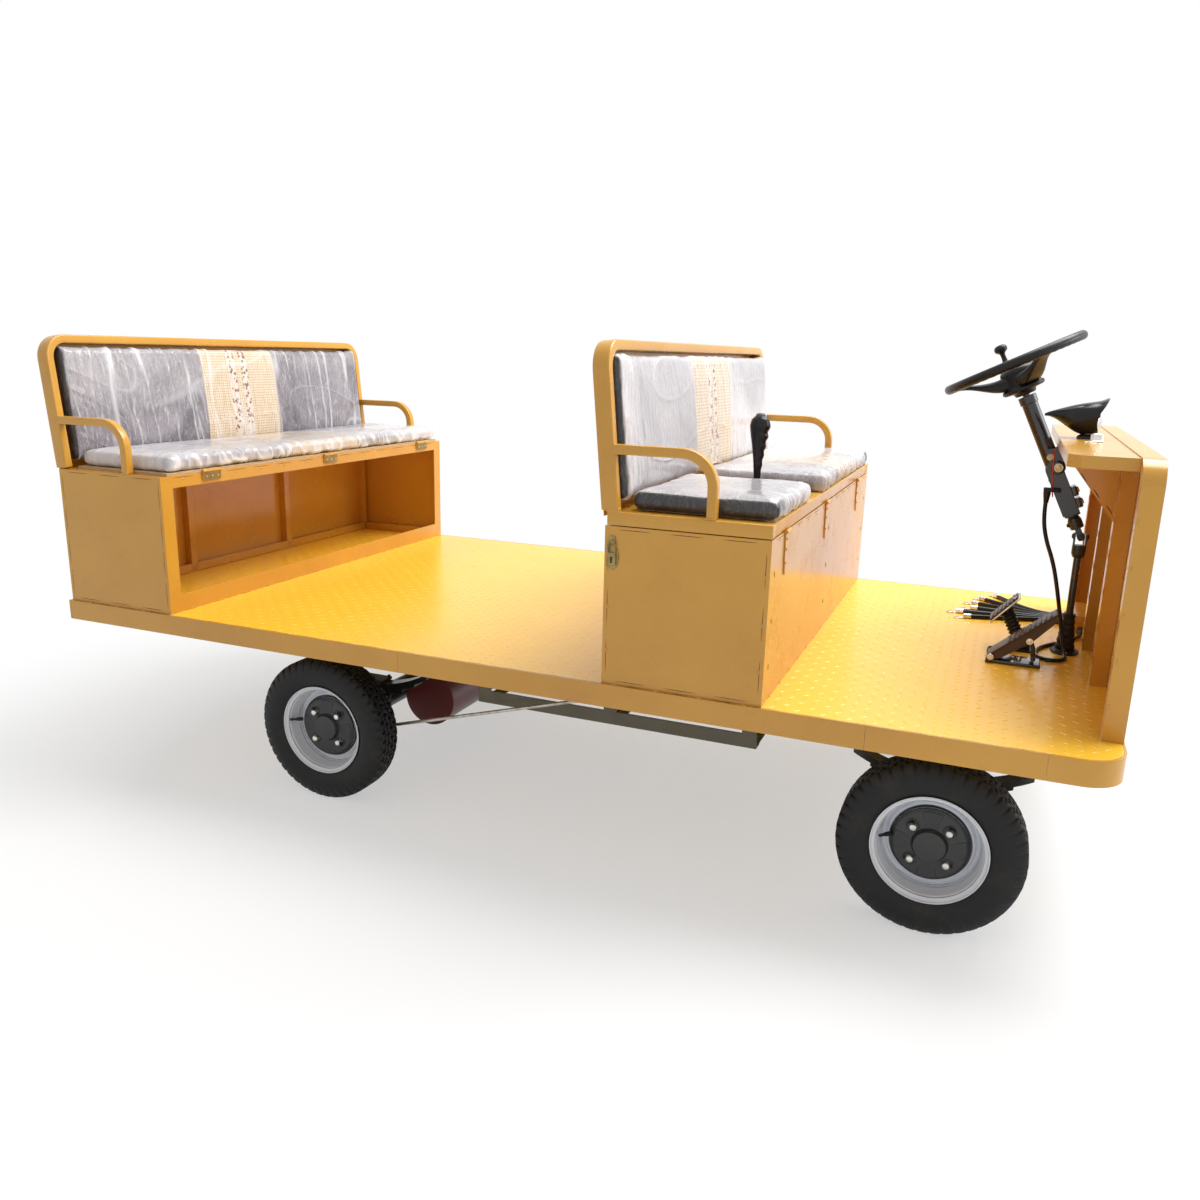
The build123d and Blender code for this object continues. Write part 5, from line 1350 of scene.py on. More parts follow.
class TRUCK_OT_pedals(bpy.types.Operator):
    """Accelerator treadle on its base and brake pedal on its bellows."""
    bl_idname = "truck.pedals"
    bl_label = "Pedals"

    def execute(self, context):
        heel = np.array((fore(2.708), -0.1, up(0.018)))
        slope = np.radians(40)
        forward = np.array((np.cos(slope), 0, np.sin(slope)))
        square = np.array((-np.sin(slope), 0, np.cos(slope)))
        basis = (forward, SIDEWAYS, square)
        treadle = [placed(rounded_block((-0.004, -0.034, 0.0), (0.206, 0.034, 0.006), 0.002), heel, *basis)]
        for k in range(9):
            x = 0.06 + k * 0.0155
            treadle.append(placed(rounded_block((x, -0.029, 0.0055), (x + 0.008, 0.029, 0.0085), 0.0012), heel,
                *basis))
        flange = rounded_outline([(-0.002, 0.004), (0.202, 0.004), (0.198, -0.012), (0.11, -0.026), (0.02, -0.02),
            (-0.002, -0.01)], 0.006)
        for side in (-1, 1):
            wall = plate(flange, side * 0.0325 - 0.0015, side * 0.0325 + 0.0015, 1, 0.0006)
            treadle.append(placed(wall, heel, *basis))
        build("treadle", treadle, "chassis", "pedal", "pedals")

        base = [rounded_block((heel[0] - 0.01, -0.138, DECK_TOP + 0.0002), (heel[0] + 0.13, -0.062, DECK_TOP + 0.009),
            0.003)]
        for y in (-0.1385, -0.0615):
            ear = rounded_outline([(heel[0] - 0.01, up(0.006)), (heel[0] + 0.016, up(0.006)), (heel[0] + 0.01,
                up(0.028)),
                (heel[0] - 0.006, up(0.028))], 0.008)
            base.append(plate(ear, y - 0.0015, y + 0.0015, 1, 0.0006))
        pivot = heel + forward * 0.108 - square * 0.02
        floor_pin = np.array((heel[0] + 0.11, -0.1, up(0.02)))
        base.append(bar(bend([pivot, (pivot + floor_pin) / 2 + (0.006, 0, 0), floor_pin]), 0.0055, 14))
        base.append(bar([floor_pin - (0, 0.02, 0), floor_pin + (0, 0.02, 0)], 0.0065, 14))
        base.append(bar([pivot - (0, 0.033, 0), pivot + (0, 0.033, 0)], 0.0055, 14))
        build("treadle_base", base, "chassis", "enamel_black")
        bright = []
        for side in (-1, 1):
            bright += bolt(heel + (0.002, side * 0.04, 0.0), (0, side, 0), 0.006, 0.005)
            bright += bolt(pivot + (0, side * 0.0345, 0), (0, side, 0), 0.006, 0.004)
            bright += bolt((heel[0] + 0.06, -0.1 + side * 0.026, up(0.009)), (0, 0, 1), 0.005, 0.004)
        bright.append(turned([(0, 0.012), (0.0035, 0.012), (0.007, 0.006), (0.007, 0.0)], 0.001,
            (heel[0] + 0.075, -0.1, up(0.009)), (0, 0, 1), 16))

        slope = np.radians(48)
        forward = np.array((np.cos(slope), 0, np.sin(slope)))
        square = np.array((-np.sin(slope), 0, np.cos(slope)))
        middle = np.array((fore(2.734), 0.045, up(0.118)))
        basis = (forward, SIDEWAYS, square)
        pad = [placed(rounded_block((-0.049, -0.034, 0.0), (0.049, 0.034, 0.0055), 0.002), middle, *basis)]
        for k in range(6):
            x = -0.04 + k * 0.0145
            pad.append(placed(rounded_block((x, -0.029, 0.005), (x + 0.007, 0.029, 0.0075), 0.001), middle, *basis))
        build("brake_pad", pad, "chassis", "pedal", slot="boot_rubber")
        shoe = placed(rounded_block((-0.053, -0.038, -0.004), (0.053, 0.038, 0.0012), 0.0015), middle, *basis)
        bright.append(shoe)
        for side in (-1, 1):
            bright += bolt(middle + forward * 0.04 + SIDEWAYS * side * 0.02 + square * 0.0055, square, 0.0048, 0.003)
        build("pedal_bolts", bright, "chassis", "bright")
        start = middle - square * 0.004
        foot = np.array((fore(2.734) + 0.053, 0.045, up(0.02)))
        way = unit(foot - start)
        length = float(np.linalg.norm(foot - start))
        line = [(0.0, 0.0), (0.02, 0.0), (0.0215, 0.006)]
        for k in range(8):
            z = 0.01 + (length - 0.02) * k / 8
            line += [(0.015, z), (0.0205, z + (length - 0.02) / 16)]
        line += [(0.016, length - 0.008), (0.018, length), (0.0, length)]
        bellows = lathe(smooth_profile(line, 0.002, 3), start, way, 32)
        block_low = foot - (0.025, 0.025, foot[2] - DECK_TOP - 0.0002)
        base = rounded_block(block_low, foot + (0.025, 0.025, 0.004), 0.004)
        stand = rounded_block(foot - (0.034, 0.034, foot[2] - DECK_TOP - 0.0002), foot + (0.034, 0.034, -0.014), 0.002)
        build("brake_bellows", [bellows, base, stand], "chassis", "boot")
        return {"FINISHED"}


# Cords

CORDS = (
    # name, diameter, length, points as (behind the deck's front edge, sideways, above the deck) in metres
    ("harness", 0.011, 0.9677, (
    (0.196, 0.051, 0.455), (0.198, 0.051, 0.395), (0.186, 0.049, 0.33), (0.157, 0.046, 0.262), (0.138, 0.045, 0.19),
    (0.123, 0.044, 0.122), (0.112, 0.04, 0.068), (0.103, 0.026, 0.028), (0.098, 0.004, 0.007), (0.097, -0.03, 0.0058),
    (0.12, -0.053, 0.0058), (0.151, -0.053, 0.0058), (0.172, -0.03, 0.0058), (0.174, 0.008, 0.0058),
    (0.168, 0.05, 0.0058), (0.15, 0.09, 0.0058), (0.124, 0.128, 0.0058), (0.092, 0.164, 0.0058),
    (0.066, 0.206, 0.0058), (0.042, 0.256, 0.011), (0.042, 0.306, 0.011))),
    ("lead_1", 0.014, 0.2994, ((0.08, 0.412, 0.009), (0.15, 0.412, 0.009), (0.23, 0.386, 0.0073),
    (0.318, 0.357, 0.0073), (0.37, 0.346, 0.0073))),
    ("lead_2", 0.014, 0.317, ((0.08, 0.428, 0.009), (0.152, 0.428, 0.009), (0.238, 0.421, 0.0073),
    (0.326, 0.409, 0.0073), (0.396, 0.407, 0.0073))),
    ("lead_3", 0.014, 0.2766, ((0.08, 0.444, 0.009), (0.15, 0.444, 0.009), (0.228, 0.455, 0.0073),
    (0.292, 0.47, 0.0073), (0.354, 0.476, 0.0073))),
    ("lead_4", 0.014, 0.289, ((0.08, 0.46, 0.009), (0.148, 0.46, 0.009), (0.222, 0.489, 0.0073),
    (0.282, 0.522, 0.0073), (0.352, 0.546, 0.0073))),
    ("lead_5", 0.014, 0.2991, ((0.08, 0.476, 0.009), (0.144, 0.476, 0.009), (0.212, 0.521, 0.0073),
    (0.268, 0.571, 0.0073), (0.33, 0.622, 0.0073))),
    ("lead_6", 0.014, 0.3074, ((0.08, 0.492, 0.009), (0.14, 0.492, 0.009), (0.198, 0.549, 0.0073),
    (0.24, 0.611, 0.0073), (0.288, 0.692, 0.0073))),
)


class TRUCK_OT_cords(bpy.types.Operator):
    """Harness from the column to the duct, and the six battery leads with their lugs on the deck."""
    bl_idname = "truck.cords"
    bl_label = "Cords"

    def execute(self, context):
        front = float(span("deck_lips")[1][0])
        ends = []
        glands = [rounded_block((DASH_BACK - 0.033, 0.396, DECK_TOP + 0.0002), (DASH_BACK - 0.0215, 0.508,
            DECK_TOP + 0.022),
            0.003)]
        for name, diameter, length, table in CORDS:
            points = np.array([(front - back, side, DECK_TOP + height) for back, side, height in table])
            curve = bpy.data.curves.new(name, "CURVE")
            curve.dimensions = "3D"
            spline = curve.splines.new("NURBS")
            spline.points.add(len(points) - 1)
            for place, point in zip(spline.points, points):
                place.co = (*point, 1.0)
            spline.order_u = 3
            spline.use_endpoint_u = True
            spline.resolution_u = 12
            curve.bevel_depth = diameter / 2
            curve.bevel_resolution = 6
            curve.use_fill_caps = True
            cord = bpy.data.objects.new(name, curve)
            bpy.context.collection.objects.link(cord)
            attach(cord, "chassis")
            curve.materials.append(MATERIALS["cord"])
            pieces = ()
            if name != "harness":
                pieces = (self.lug(name, points),)
            ends.append((points, diameter, name))
        harness = ends[0][0]
        for at, way, size in ((harness[0], (0, 0, -1), 0.0085), (harness[-1], (0, -1, 0), 0.0085)):
            glands.append(turned([(0.0, 0.03), (size * 0.72, 0.03), (size, 0.012), (size * 1.15, 0.004),
                (size * 1.15, -0.012), (0.0, -0.012)], 0.001, at, way, 24))
        clip = rounded_block(harness[0] + (-0.01, -0.011, 0.002), harness[0] + (0.034, 0.011, 0.012), 0.002)
        glands.append(clip)
        for points, diameter, name in ends[1:]:
            glands.append(turned([(0.0, 0.03), (0.0078, 0.03), (0.0088, 0.012), (0.009, 0.0), (0.0, 0.0)],
                0.001, points[0], (-1, 0, 0), 24))
        build("cord_glands", glands, "chassis", "boot")
        return {"FINISHED"}

    def lug(self, name, points):
        """A crimped ring lug on a lead's end: a barrel, a flat tongue and an eye."""
        way = unit((points[-1] - points[-2]) * (1, 1, 0))
        across = np.cross((0, 0, 1), way)
        end = points[-1]
        barrel = turned([(0.0072, 0.0), (0.0086, 0.001), (0.0086, 0.01), (0.0078, 0.013), (0.0086, 0.016),
            (0.0084, 0.024), (0.0, 0.024)], 0.001, end - way * 0.012, way, 20)
        barrel[0][:, 2] = np.maximum(barrel[0][:, 2], DECK_TOP + 0.0003)
        turn = np.linspace(0, 2 * np.pi, 28, endpoint=False)
        eye = []
        for radius, z in ((0.011, 0.0), (0.011, 0.0028), (0.0105, 0.0032), (0.0058, 0.0032), (0.0055, 0.0028),
                (0.0055, 0.0), (0.011, 0.0)):
            eye.append(np.stack([0.03 + radius * np.cos(turn), radius * np.sin(turn), 0 * turn + z], 1))
        eye = loft(eye, caps=False)
        base = np.array((end[0], end[1], DECK_TOP + 0.0005))
        tongue = rounded_block((0.008, -0.0085, 0.0), (0.024, 0.0085, 0.0031), 0.001)
        parts = [barrel, placed(eye, base, way, across, (0, 0, 1)), placed(tongue, base, way, across, (0, 0, 1))]
        return build("lug_" + name[-1], parts, "chassis", "bright")


# Wheels

def wheel_centre(name):
    low, high = span("tyre_" + name)
    return (low + high) / 2


def place_on_wheel(points, name):
    """Turns points given as (along, up, outward) about a wheel's centre into the row frame."""
    side = -1.0 if name.endswith("right") else 1.0
    c = wheel_centre(name)
    out = np.empty_like(points)
    out[..., 0] = c[0] + points[..., 0]
    out[..., 1] = c[1] + side * points[..., 2]
    out[..., 2] = c[2] + points[..., 1]
    return out, side < 0


def tyre_points(settings, radius):
    """Points (along, up, outward) of a tyre. A closed section is carried round; on the tread and shoulders the radius
    drops by the groove depth where a zigzag groove or a cross cut runs: blocks = product of two smooth steps."""
    half = 0.054
    section = np.array([
        (0.127, -0.036), (0.1405, -0.0405), (0.15, -0.047), (0.166, -0.0525), (0.184, -0.054), (0.2, -0.0515),
        (0.2105, -0.0475), (0.2175, -0.0435), (0.2225, -0.0385), (0.2237, -0.034)])
    lip = np.linspace(-0.0335, 0.0335, 37)
    crown = np.stack([0.224 - 0.0006 * (lip / 0.034) ** 2, lip], 1)
    mirror = section[::-1] * np.array([1, -1])
    rows = np.concatenate([np.repeat(section, 1, 0), crown, mirror])
    fine = []
    for a, b in zip(rows[:-1], rows[1:]):
        steps = max(1, int(np.hypot(*(b - a)) / 0.007))
        fine += [a + (b - a) * k / steps for k in range(steps)]
    rows = np.array(fine + [rows[-1]])
    count = settings.blocks * 10
    turn = np.linspace(0, 2 * np.pi, count, endpoint=False)[:, None]
    r, w = rows[None, :, 0], rows[None, :, 1]
    cell = turn / (2 * np.pi) * settings.blocks
    zig = 0.0022 * (2 * np.abs(2 * (cell - np.floor(cell)) - 1) - 1)
    groove = np.ones((count, len(rows)))
    for centre, width in ((-0.026, 0.0026), (-0.009, 0.0026), (0.009, 0.0026), (0.026, 0.0026)):
        groove *= ramp(np.abs(w - centre - zig), width * 0.5, width * 1.15)
    lane = np.floor((w + 0.0345) / 0.01725)
    phase = cell + 0.5 * (lane % 2) + 0.12 * np.sign(w) * w / 0.02
    cut = np.abs(2 * (phase - np.floor(phase)) - 1)
    cross = ramp(cut, 0.1, 0.24)
    on_tread = ramp(r, 0.2165, 0.2215)
    shoulder = ramp(r, 0.188, 0.196) * (1 - on_tread)
    half_phase = cell + 0.25
    cut2 = np.abs(2 * (half_phase - np.floor(half_phase)) - 1)
    cross2 = ramp(cut2, 0.16, 0.36)
    depth = settings.tread_depth * on_tread * (1 - groove * cross) + 0.0062 * shoulder * (1 - cross2)
    rings = 0.0008 * np.exp(-((r - 0.1585) / 0.0014) ** 2) + 0.0006 * np.exp(-((r - 0.197) / 0.0012) ** 2)
    scale = radius / 0.224
    rr = (r - depth) * scale + 0 * turn
    ww = w + np.sign(w) * rings * (np.abs(w) > 0.03) + 0 * turn
    return np.stack([rr * np.cos(turn), rr * np.sin(turn), np.clip(ww, -half - 0.001, half + 0.001)], -1)


RIM_LINE = [(0.04, -0.004), (0.092, -0.004), (0.1035, -0.009), (0.108, -0.02), (0.1125, -0.02), (0.119, -0.012),
    (0.1225, 0.01), (0.1235, 0.03), (0.1275, 0.034), (0.134, 0.0355), (0.1385, 0.041), (0.1395, 0.0455),
    (0.1365, 0.0462), (0.1345, 0.0415), (0.13, 0.0385), (0.1262, 0.036), (0.1262, 0.012), (0.116, -0.018),
    (0.116, -0.022), (0.126, -0.03), (0.1262, -0.038), (0.134, -0.04), (0.1395, -0.0455), (0.1365, -0.0462),
    (0.1235, -0.04), (0.121, -0.028), (0.106, -0.024), (0.1, -0.012), (0.092, -0.0075), (0.04, -0.0075)]
HUB_LINE = [(0.0, 0.0205), (0.0235, 0.0205), (0.0255, 0.0195), (0.0262, 0.0165), (0.0305, 0.0165), (0.0322, 0.018),
    (0.035, 0.0178), (0.0372, 0.0125), (0.05, 0.009), (0.0865, 0.008), (0.0915, 0.0055), (0.0928, 0.0005),
    (0.087, 0.0), (0.04, 0.0)]


def wheel_lathe(line, name, steps, rounding=0.002):
    """Points and faces of a profile of (radius, outward) turned about a wheel's axle."""
    line = smooth_profile(line, rounding)
    turn = np.linspace(0, 2 * np.pi, steps, endpoint=False)
    grid = np.stack([line[:, 0][:, None] * np.cos(turn), line[:, 0][:, None] * np.sin(turn),
        line[:, 1][:, None] + 0 * turn], -1)
    points, flip = place_on_wheel(grid, name)
    faces = grid_faces(len(line), steps, wrap_columns=True)
    return points.reshape(-1, 3), faces.tolist(), flip


class TRUCK_OT_wheels(bpy.types.Operator):
    """Tyres with tread, rims, hub covers, wheel bolts and valves."""
    bl_idname = "truck.wheels"
    bl_label = "Wheels"

    def execute(self, context):
        settings = context.scene.truck_wheels
        low, high = span("tyre_front_right")
        shape = tyre_points(settings, float(high[2] - low[2]) / 2)
        for name in WHEELS:
            body = "wheel_" + name
            points, flip = place_on_wheel(shape, name)
            tyre = grid_piece("tread_" + name, points, wrap_rows=True, wrap_columns=True)
            finish_piece(tidy(tyre), body, "tyre", MATERIALS["rubber"], "tyre_" + name)
            points, faces, flip = wheel_lathe(RIM_LINE, name, 96)
            count = len(points) // 96
            faces += [[(count - 1) * 96 + k, (count - 1) * 96 + (k + 1) % 96, (k + 1) % 96, k] for k in range(96)]
            rim = new_mesh("dish_" + name, points, faces)
            finish_piece(tidy(rim), body, "rim_paint", MATERIALS["rim"], "rim_" + name)
            points, faces, _ = wheel_lathe(HUB_LINE, name, 96)
            cover = new_mesh("hub_cover_" + name, points, faces)
            finish_piece(tidy(cover), body, "hub_paint", MATERIALS["hub"])
            NODES["hub_" + name].data.materials.clear()
            NODES["hub_" + name].data.materials.append(MATERIALS["black"])
            self.ribs(name, body)
            self.bolts(name, body)
        return {"FINISHED"}

    def ribs(self, name, body):
        """Raised ribs of the hub cover: two pairs that widen outwards like a bow tie, and a cup round each bolt."""
        side = -1.0 if name.endswith("right") else 1.0
        c = wheel_centre(name)
        parts = []
        for turn in (0, 90, 180, 270):
            a = np.radians(turn)
            out, across = np.array((np.cos(a), np.sin(a))), np.array((-np.sin(a), np.cos(a)))
            corners = [out * 0.03 - across * 0.009, out * 0.083 - across * 0.026, out * 0.086 - across * 0.01,
                out * 0.087, out * 0.086 + across * 0.01, out * 0.083 + across * 0.026, out * 0.03 + across * 0.009]
            outline = rounded_outline(corners, 0.006) + (c[0], c[2])
            y0, y1 = sorted((c[1] + side * 0.007, c[1] + side * 0.0118))
            parts.append(plate(outline, y0, y1, 1, 0.0016))
        for turn in (45, 135, 225, 315):
            a = np.radians(turn)
            middle = (c[0] + 0.06 * np.cos(a), c[1] + side * 0.006, c[2] + 0.06 * np.sin(a))
            cup = [(0.0122, 0.002), (0.013, 0.006), (0.015, 0.0064), (0.0168, 0.005), (0.018, 0.0015), (0.0122,
                0.0015)]
            points, faces = lathe(cup, middle, (0, side, 0), 28)
            parts.append((points, faces[:-2]))
        build("hub_ribs_" + name, parts, body, "hub")

    def bolts(self, name, body):
        """Four domed wheel bolts in dark cups and the valve stem."""
        side = -1.0 if name.endswith("right") else 1.0
        c = wheel_centre(name)
        bright = []
        for turn in (45, 135, 225, 315):
            a = np.radians(turn)
            middle = (c[0] + 0.06 * np.cos(a), c[1] + side * 0.008, c[2] + 0.06 * np.sin(a))
            line = [(0.0, 0.019), (0.004, 0.0184), (0.0078, 0.0164), (0.01, 0.0128), (0.0106, 0.008), (0.0116, 0.0052),
                (0.0119, 0.0035), (0.0119, 0.0)]
            bright.append(turned(line, 0.001, middle, (0, side, 0), 6 * 4))
        piece = joined("wheel_bolts_" + name, bright)
        finish_piece(tidy(piece), body, "zinc", MATERIALS["bright"])
        start = np.array((c[0] - 0.094, c[1] + side * 0.01, c[2] + 0.01))
        stem = lathe([(0.0, 0.04), (0.0035, 0.04), (0.004, 0.036), (0.004, 0.022), (0.0055, 0.018), (0.006, 0.0)],
            start, (-0.55, side * 0.8, 0.12), 20)
        piece = joined("valve_" + name, [stem])
        finish_piece(tidy(piece), body, "boot_rubber", MATERIALS["boot"])


# Cushions

def pad_shape(name, low, high, edge):
    """A closed pad between two corners with rounded corners in plan and rounded rims, ready to swell."""
    points, faces = rounded_block(low, high, edge, 4)
    return tidy(new_mesh(name, points, faces))


def read_points(mesh):
    """Points and point normals of a mesh."""
    co = np.empty(len(mesh.vertices) * 3)
    mesh.vertices.foreach_get("co", co)
    normal = np.empty(len(mesh.vertices) * 3)
    mesh.vertices.foreach_get("normal", normal)
    return co.reshape(-1, 3), normal.reshape(-1, 3)


def applied(piece):
    """The mesh of a piece with its modifiers applied and taken off."""
    seen = piece.evaluated_get(bpy.context.evaluated_depsgraph_get())
    mesh = bpy.data.meshes.new_from_object(seen)
    piece.modifiers.clear()
    return mesh


def swell(piece, settings, cap):
    """Remeshes a pad, blows it up as cloth and keeps each point within a cap of where it was."""
    bpy.context.view_layer.objects.active = piece
    remesh = piece.modifiers.new("remesh", "REMESH")
    remesh.mode, remesh.voxel_size = "VOXEL", settings.voxel
    mesh = piece.data = applied(piece)
    start = read_points(mesh)[0]
    cloth = piece.modifiers.new("cloth", "CLOTH")
    cloth.settings.use_pressure = True
    cloth.settings.uniform_pressure_force = 4.0
    cloth.settings.effector_weights.gravity = 0.0
    cloth.settings.quality = 5
    scene = bpy.context.scene
    for number in range(1, 21):
        scene.frame_set(number)
    move = read_points(applied(piece))[0] - start
    scene.frame_set(1)
    reach = np.linalg.norm(move, axis=1, keepdims=True)
    move *= np.minimum(1.0, cap / np.maximum(reach, 1e-9))
    start = start + move
    mesh.vertices.foreach_set("co", start.ravel())
    sub = piece.modifiers.new("smooth", "SUBSURF")
    sub.levels = sub.render_levels = 1
    mesh = piece.data = applied(piece)
    mesh.polygons.foreach_set("use_smooth", [True] * len(mesh.polygons))
    return piece


def mark(mesh, name, values):
    """Stores one number, or one vector, per point."""
    kind = "FLOAT" if np.ndim(values) == 1 else "FLOAT_VECTOR"
    attribute = mesh.attributes.new(name, kind, "POINT")
    field = "value" if kind == "FLOAT" else "vector"
    attribute.data.foreach_set(field, np.asarray(values, np.float32).ravel())


def wrap_in_film(piece, settings, up_way, seed, low, high, strip, dark_sides, upright):
    """Folds of the film: thin crests that run up an upright pad and across the front of a flat one. Each point moves
    along its normal by folds * gather * (crest - 0.3), where crest is ridged noise on a plane warped by slower noise."""
    mesh = piece.data
    co, normal = read_points(mesh)
    across = co[:, 1]
    rise = (co - low) @ up_way
    depth = float((high - low) @ up_way)
    warp = 0.05 * (noise(across * 6, rise * 5, seed + 1) - 0.5) + 0.016 * (noise(across * 21, rise * 13,
        seed + 9) - 0.5)
    if upright:
        pale = seed > 20
        lines = fold((across + warp * 0.5) * 26 + rise * 1.6, rise * 1.1, seed) ** (2.2 if pale else 3.4)
        fine = fold((across + warp * 0.4) * 70 - rise * 3.5, rise * 3.6, seed + 3) ** (2.0 if pale else 3.2)
        pulled = fold(rise * 9 + 1.6 * noise(across * 2.2, rise * 2, seed + 13), across * 2.7, seed + 15) ** 9
        patch = ramp(noise(across * 3.6, rise * 3.1, seed + 19), 0.36, 0.62)
        crest = np.maximum(np.maximum(lines * (0.35 + 0.65 * patch), 0.8 * fine * patch), 0.7 * pulled)
        gather = 0.55 + 0.45 * ramp(np.abs(rise / depth - 0.5), 0.1, 0.5)
        shade = (0.55 + 0.45 * patch) if pale else 0.35 * ramp(noise(across * 2.4, rise * 3.5, seed + 17), 0.5, 0.8)
    else:
        front = ramp(co[:, 0], high[0] - 0.075, high[0] - 0.01)
        slow = fold((across + warp) * 11, (co[:, 0] + warp) * 15, seed) ** 3.4
        lines = fold((across + warp * 0.5) * 40, co[:, 0] * 9 + co[:, 2] * 12, seed + 5) ** 1.4
        cross = fold(across * 22 + co[:, 0] * 16, co[:, 0] * 30 - across * 8, seed + 2) ** 2.6
        crest = (1 - front) * np.maximum(slow, 0.8 * cross) + front * np.maximum(lines, 0.6 * cross)
        gather = 0.3 + 0.8 * front
        shade = 0.45 + 0.5 * ramp(noise(across * 3, co[:, 0] * 6, seed + 17), 0.35, 0.6)
    side = np.zeros(len(co))
    for sign in dark_sides:
        side = np.maximum(side, ramp(normal[:, 1] * sign, 0.45, 0.75))
        if not upright:
            edge = high[1] if sign > 0 else low[1]
            near = 1 - ramp(np.abs(across - edge), 0.05, 0.12)
            side = np.maximum(side, near * ramp(normal[:, 0], 0.5, 0.8))
    pleat = fold(co[:, 0] * 38 + co[:, 2] * 6, co[:, 2] * 14, seed + 23) ** 2
    crest = crest * (1 - side) + 0.16 * pleat * side
    co = co + normal * (settings.folds * gather * (crest - 0.3))[:, None]
    mesh.vertices.foreach_set("co", co.ravel())
    # crest is stored for the shader, which paints a white highlight on the film from it
    mark(mesh, "crest", np.clip(crest * (0.55 + 0.55 * gather), 0, 1))
    mark(mesh, "side", side)
    mark(mesh, "shade", shade)
    y0, y1 = strip
    middle = (y0 + y1) / 2
    inside = ramp(across, y0 - 0.002, y0 + 0.002) * (1 - ramp(across, y1 - 0.002, y1 + 0.002))
    band = ramp(across, middle - 0.058, middle - 0.055) * (1 - ramp(across, middle - 0.02, middle - 0.017))
    band += ramp(across, middle + 0.006, middle + 0.009) * (1 - ramp(across, middle + 0.04, middle + 0.043))
    mark(mesh, "strip", inside * (0.92 if upright else 0.55))
    mark(mesh, "band", band if upright else band * 0)
    mark(mesh, "flat_place", np.stack([across, rise if upright else co[:, 0], 0 * rise], 1))
    mesh.update()


BACK_TALL = 0.36


# the lean of the back frames, and where their sheets start: distance from the rear edge, height above the deck
SHEET_FOOT = {"rear": (0.018, 0.414), "driver": (1.828, 0.432)}


def leaning_pad(name, node_name):
    """A pad built upright and then leant back, from just above the seat cushion to the frame's top bar."""
    low, high = span(node_name)
    lean = LEAN
    up_way = np.array((-np.sin(lean), 0, np.cos(lean)))
    face = np.array((np.cos(lean), 0, np.sin(lean)))
    points, faces = rounded_block((0.002, low[1] - 0.003, 0.004), (0.056, high[1] + 0.003, BACK_TALL - 0.004), 0.017,
        5)
    base = np.array((low[0] + 0.297 * np.sin(lean), 0, low[2])) - up_way * 0.054
    moved = base + points[:, :1] * face + points[:, 2:] * up_way
    moved[:, 1] = points[:, 1]
    return tidy(new_mesh(name, moved, faces)), up_way, base


def keep_before_sheet(piece, foot):
    """Pushes the points that bulge through the sheet behind a back pad to its front."""
    lean = LEAN
    face = np.array((np.cos(lean), 0, np.sin(lean)))
    co = read_points(piece.data)[0]
    behind = -0.0179 - (co - (fore(foot[0]), 0, up(foot[1]))) @ face
    co += np.maximum(behind, 0)[:, None] * face
    piece.data.vertices.foreach_set("co", co.ravel())


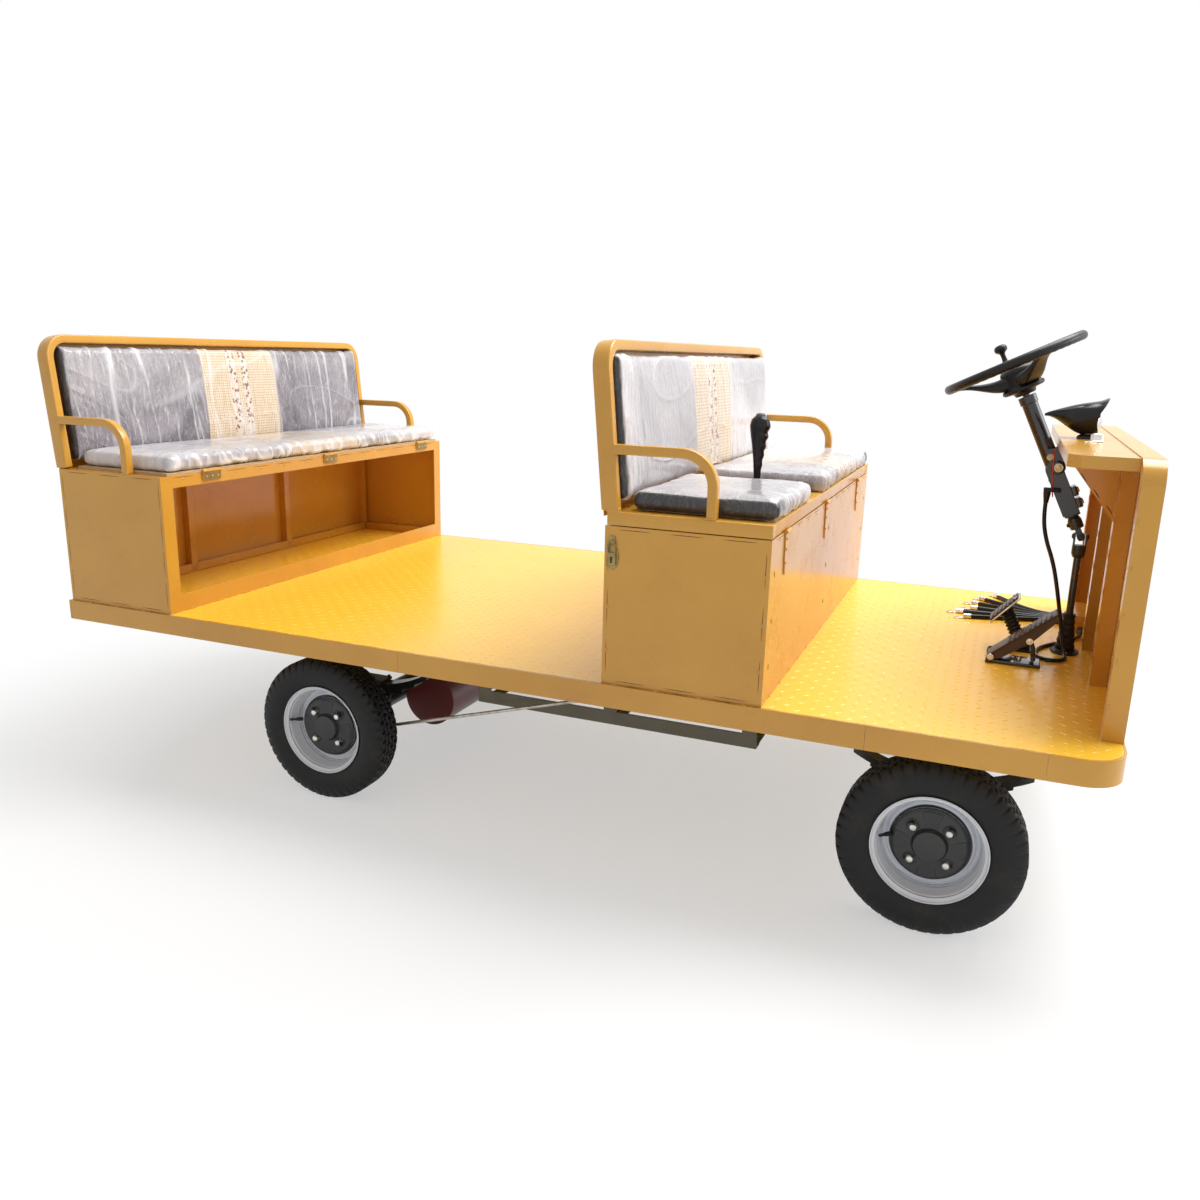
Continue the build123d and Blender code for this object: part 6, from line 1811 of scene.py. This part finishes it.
class TRUCK_OT_cushions(bpy.types.Operator):
    """Two back cushions and three seat cushions, blown up as cloth and wrapped in wrinkled clear film."""
    bl_idname = "truck.cushions"
    bl_label = "Cushions"

    def execute(self, context):
        settings = context.scene.truck_cushions
        strip = (-0.18, 0.19)
        for seed, (bench, body) in enumerate((("rear", "chassis"), ("driver", "driver_seat"))):
            node_name = bench + "_back_cushion"
            piece, up_way, base = leaning_pad(bench + "_back_pad", node_name)
            swell(piece, settings, settings.swell * 0.6)
            wrap_in_film(piece, settings, up_way, 11 + 20 * seed, base, base + up_way * BACK_TALL, strip, (-1, 1),
                True)
            keep_before_sheet(piece, SHEET_FOOT[bench])
            finish_piece(piece, body, "wrapped_cushion", MATERIALS["film"], node_name)
        low, high = span("rear_seat_cushion")
        self.seat("rear_seat_pad", low, high, "rear_seat", 51, strip, (), "rear_seat_cushion")
        low, high = span("driver_seat_cushions")
        near = (low, np.array((high[0], -0.32, high[2])))
        far = (np.array((low[0], -0.15, low[2])), high)
        self.seat("driver_seat_pad_right", *near, "driver_seat", 71, (3.0, 3.1), (-1,), "driver_seat_cushions")
        self.seat("driver_seat_pad_left", *far, "driver_seat", 91, (0.1, 0.42), (1,), "driver_seat_cushions")
        return {"FINISHED"}

    def seat(self, name, low, high, body, seed, strip, dark, node_name):
        """One flat seat cushion between two corners."""
        settings = bpy.context.scene.truck_cushions
        inset = np.array((0.003, 0.002, 0.0))
        piece = pad_shape(name, low + inset + (0, 0, 0.001), high - inset + (0, 0, 0.002), 0.014)
        swell(piece, settings, settings.swell * 0.7)
        co = read_points(piece.data)[0]
        co[:, 2] = np.maximum(co[:, 2], low[2] + 0.0005)
        piece.data.vertices.foreach_set("co", co.ravel())
        wrap_in_film(piece, settings, np.array((0, 0, 1.0)), seed, low, high, strip, dark, False)
        finish_piece(piece, body, "wrapped_cushion", MATERIALS["film"], node_name)


class TRUCK_PT_panel(bpy.types.Panel):
    """Lists the truck's pieces in the sidebar."""
    bl_label = "Electric platform truck"
    bl_idname = "TRUCK_PT_panel"
    bl_space_type = "VIEW_3D"
    bl_region_type = "UI"
    bl_category = "Truck"

    def draw(self, context):
        for operator in OPERATORS:
            self.layout.operator(operator.bl_idname)
        for holder, kind in SETTINGS.items():
            for name in kind.__annotations__:
                self.layout.prop(getattr(context.scene, holder), name)


OPERATORS = (TRUCK_OT_stage, TRUCK_OT_cords, TRUCK_OT_finishes, TRUCK_OT_deck, TRUCK_OT_bench_fittings,
    TRUCK_OT_seat_frames, TRUCK_OT_handwheel, TRUCK_OT_column, TRUCK_OT_instruments, TRUCK_OT_dash_fittings,
    TRUCK_OT_pedals,
    TRUCK_OT_wheels, TRUCK_OT_cushions)
SETTINGS = {"truck_body": TruckBody, "truck_wheels": TruckWheels, "truck_cushions": TruckCushions,
    "truck_stage": TruckStage}
CLASSES = (*SETTINGS.values(), *OPERATORS, TRUCK_PT_panel)


def register():
    for item in CLASSES:
        bpy.utils.register_class(item)
    for name, kind in SETTINGS.items():
        setattr(bpy.types.Scene, name, bpy.props.PointerProperty(type=kind))


def unregister():
    for name in SETTINGS:
        delattr(bpy.types.Scene, name)
    for item in reversed(CLASSES):
        bpy.utils.unregister_class(item)


def main():
    """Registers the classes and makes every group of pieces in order."""
    register()
    bpy.ops.truck.stage()
    bpy.ops.truck.cords()
    bpy.ops.truck.finishes()
    bpy.ops.truck.deck()
    bpy.ops.truck.bench_fittings()
    bpy.ops.truck.seat_frames()
    bpy.ops.truck.handwheel()
    bpy.ops.truck.column()
    bpy.ops.truck.instruments()
    bpy.ops.truck.dash_fittings()
    bpy.ops.truck.pedals()
    bpy.ops.truck.wheels()
    bpy.ops.truck.cushions()


if __name__ == "__main__":
    main()
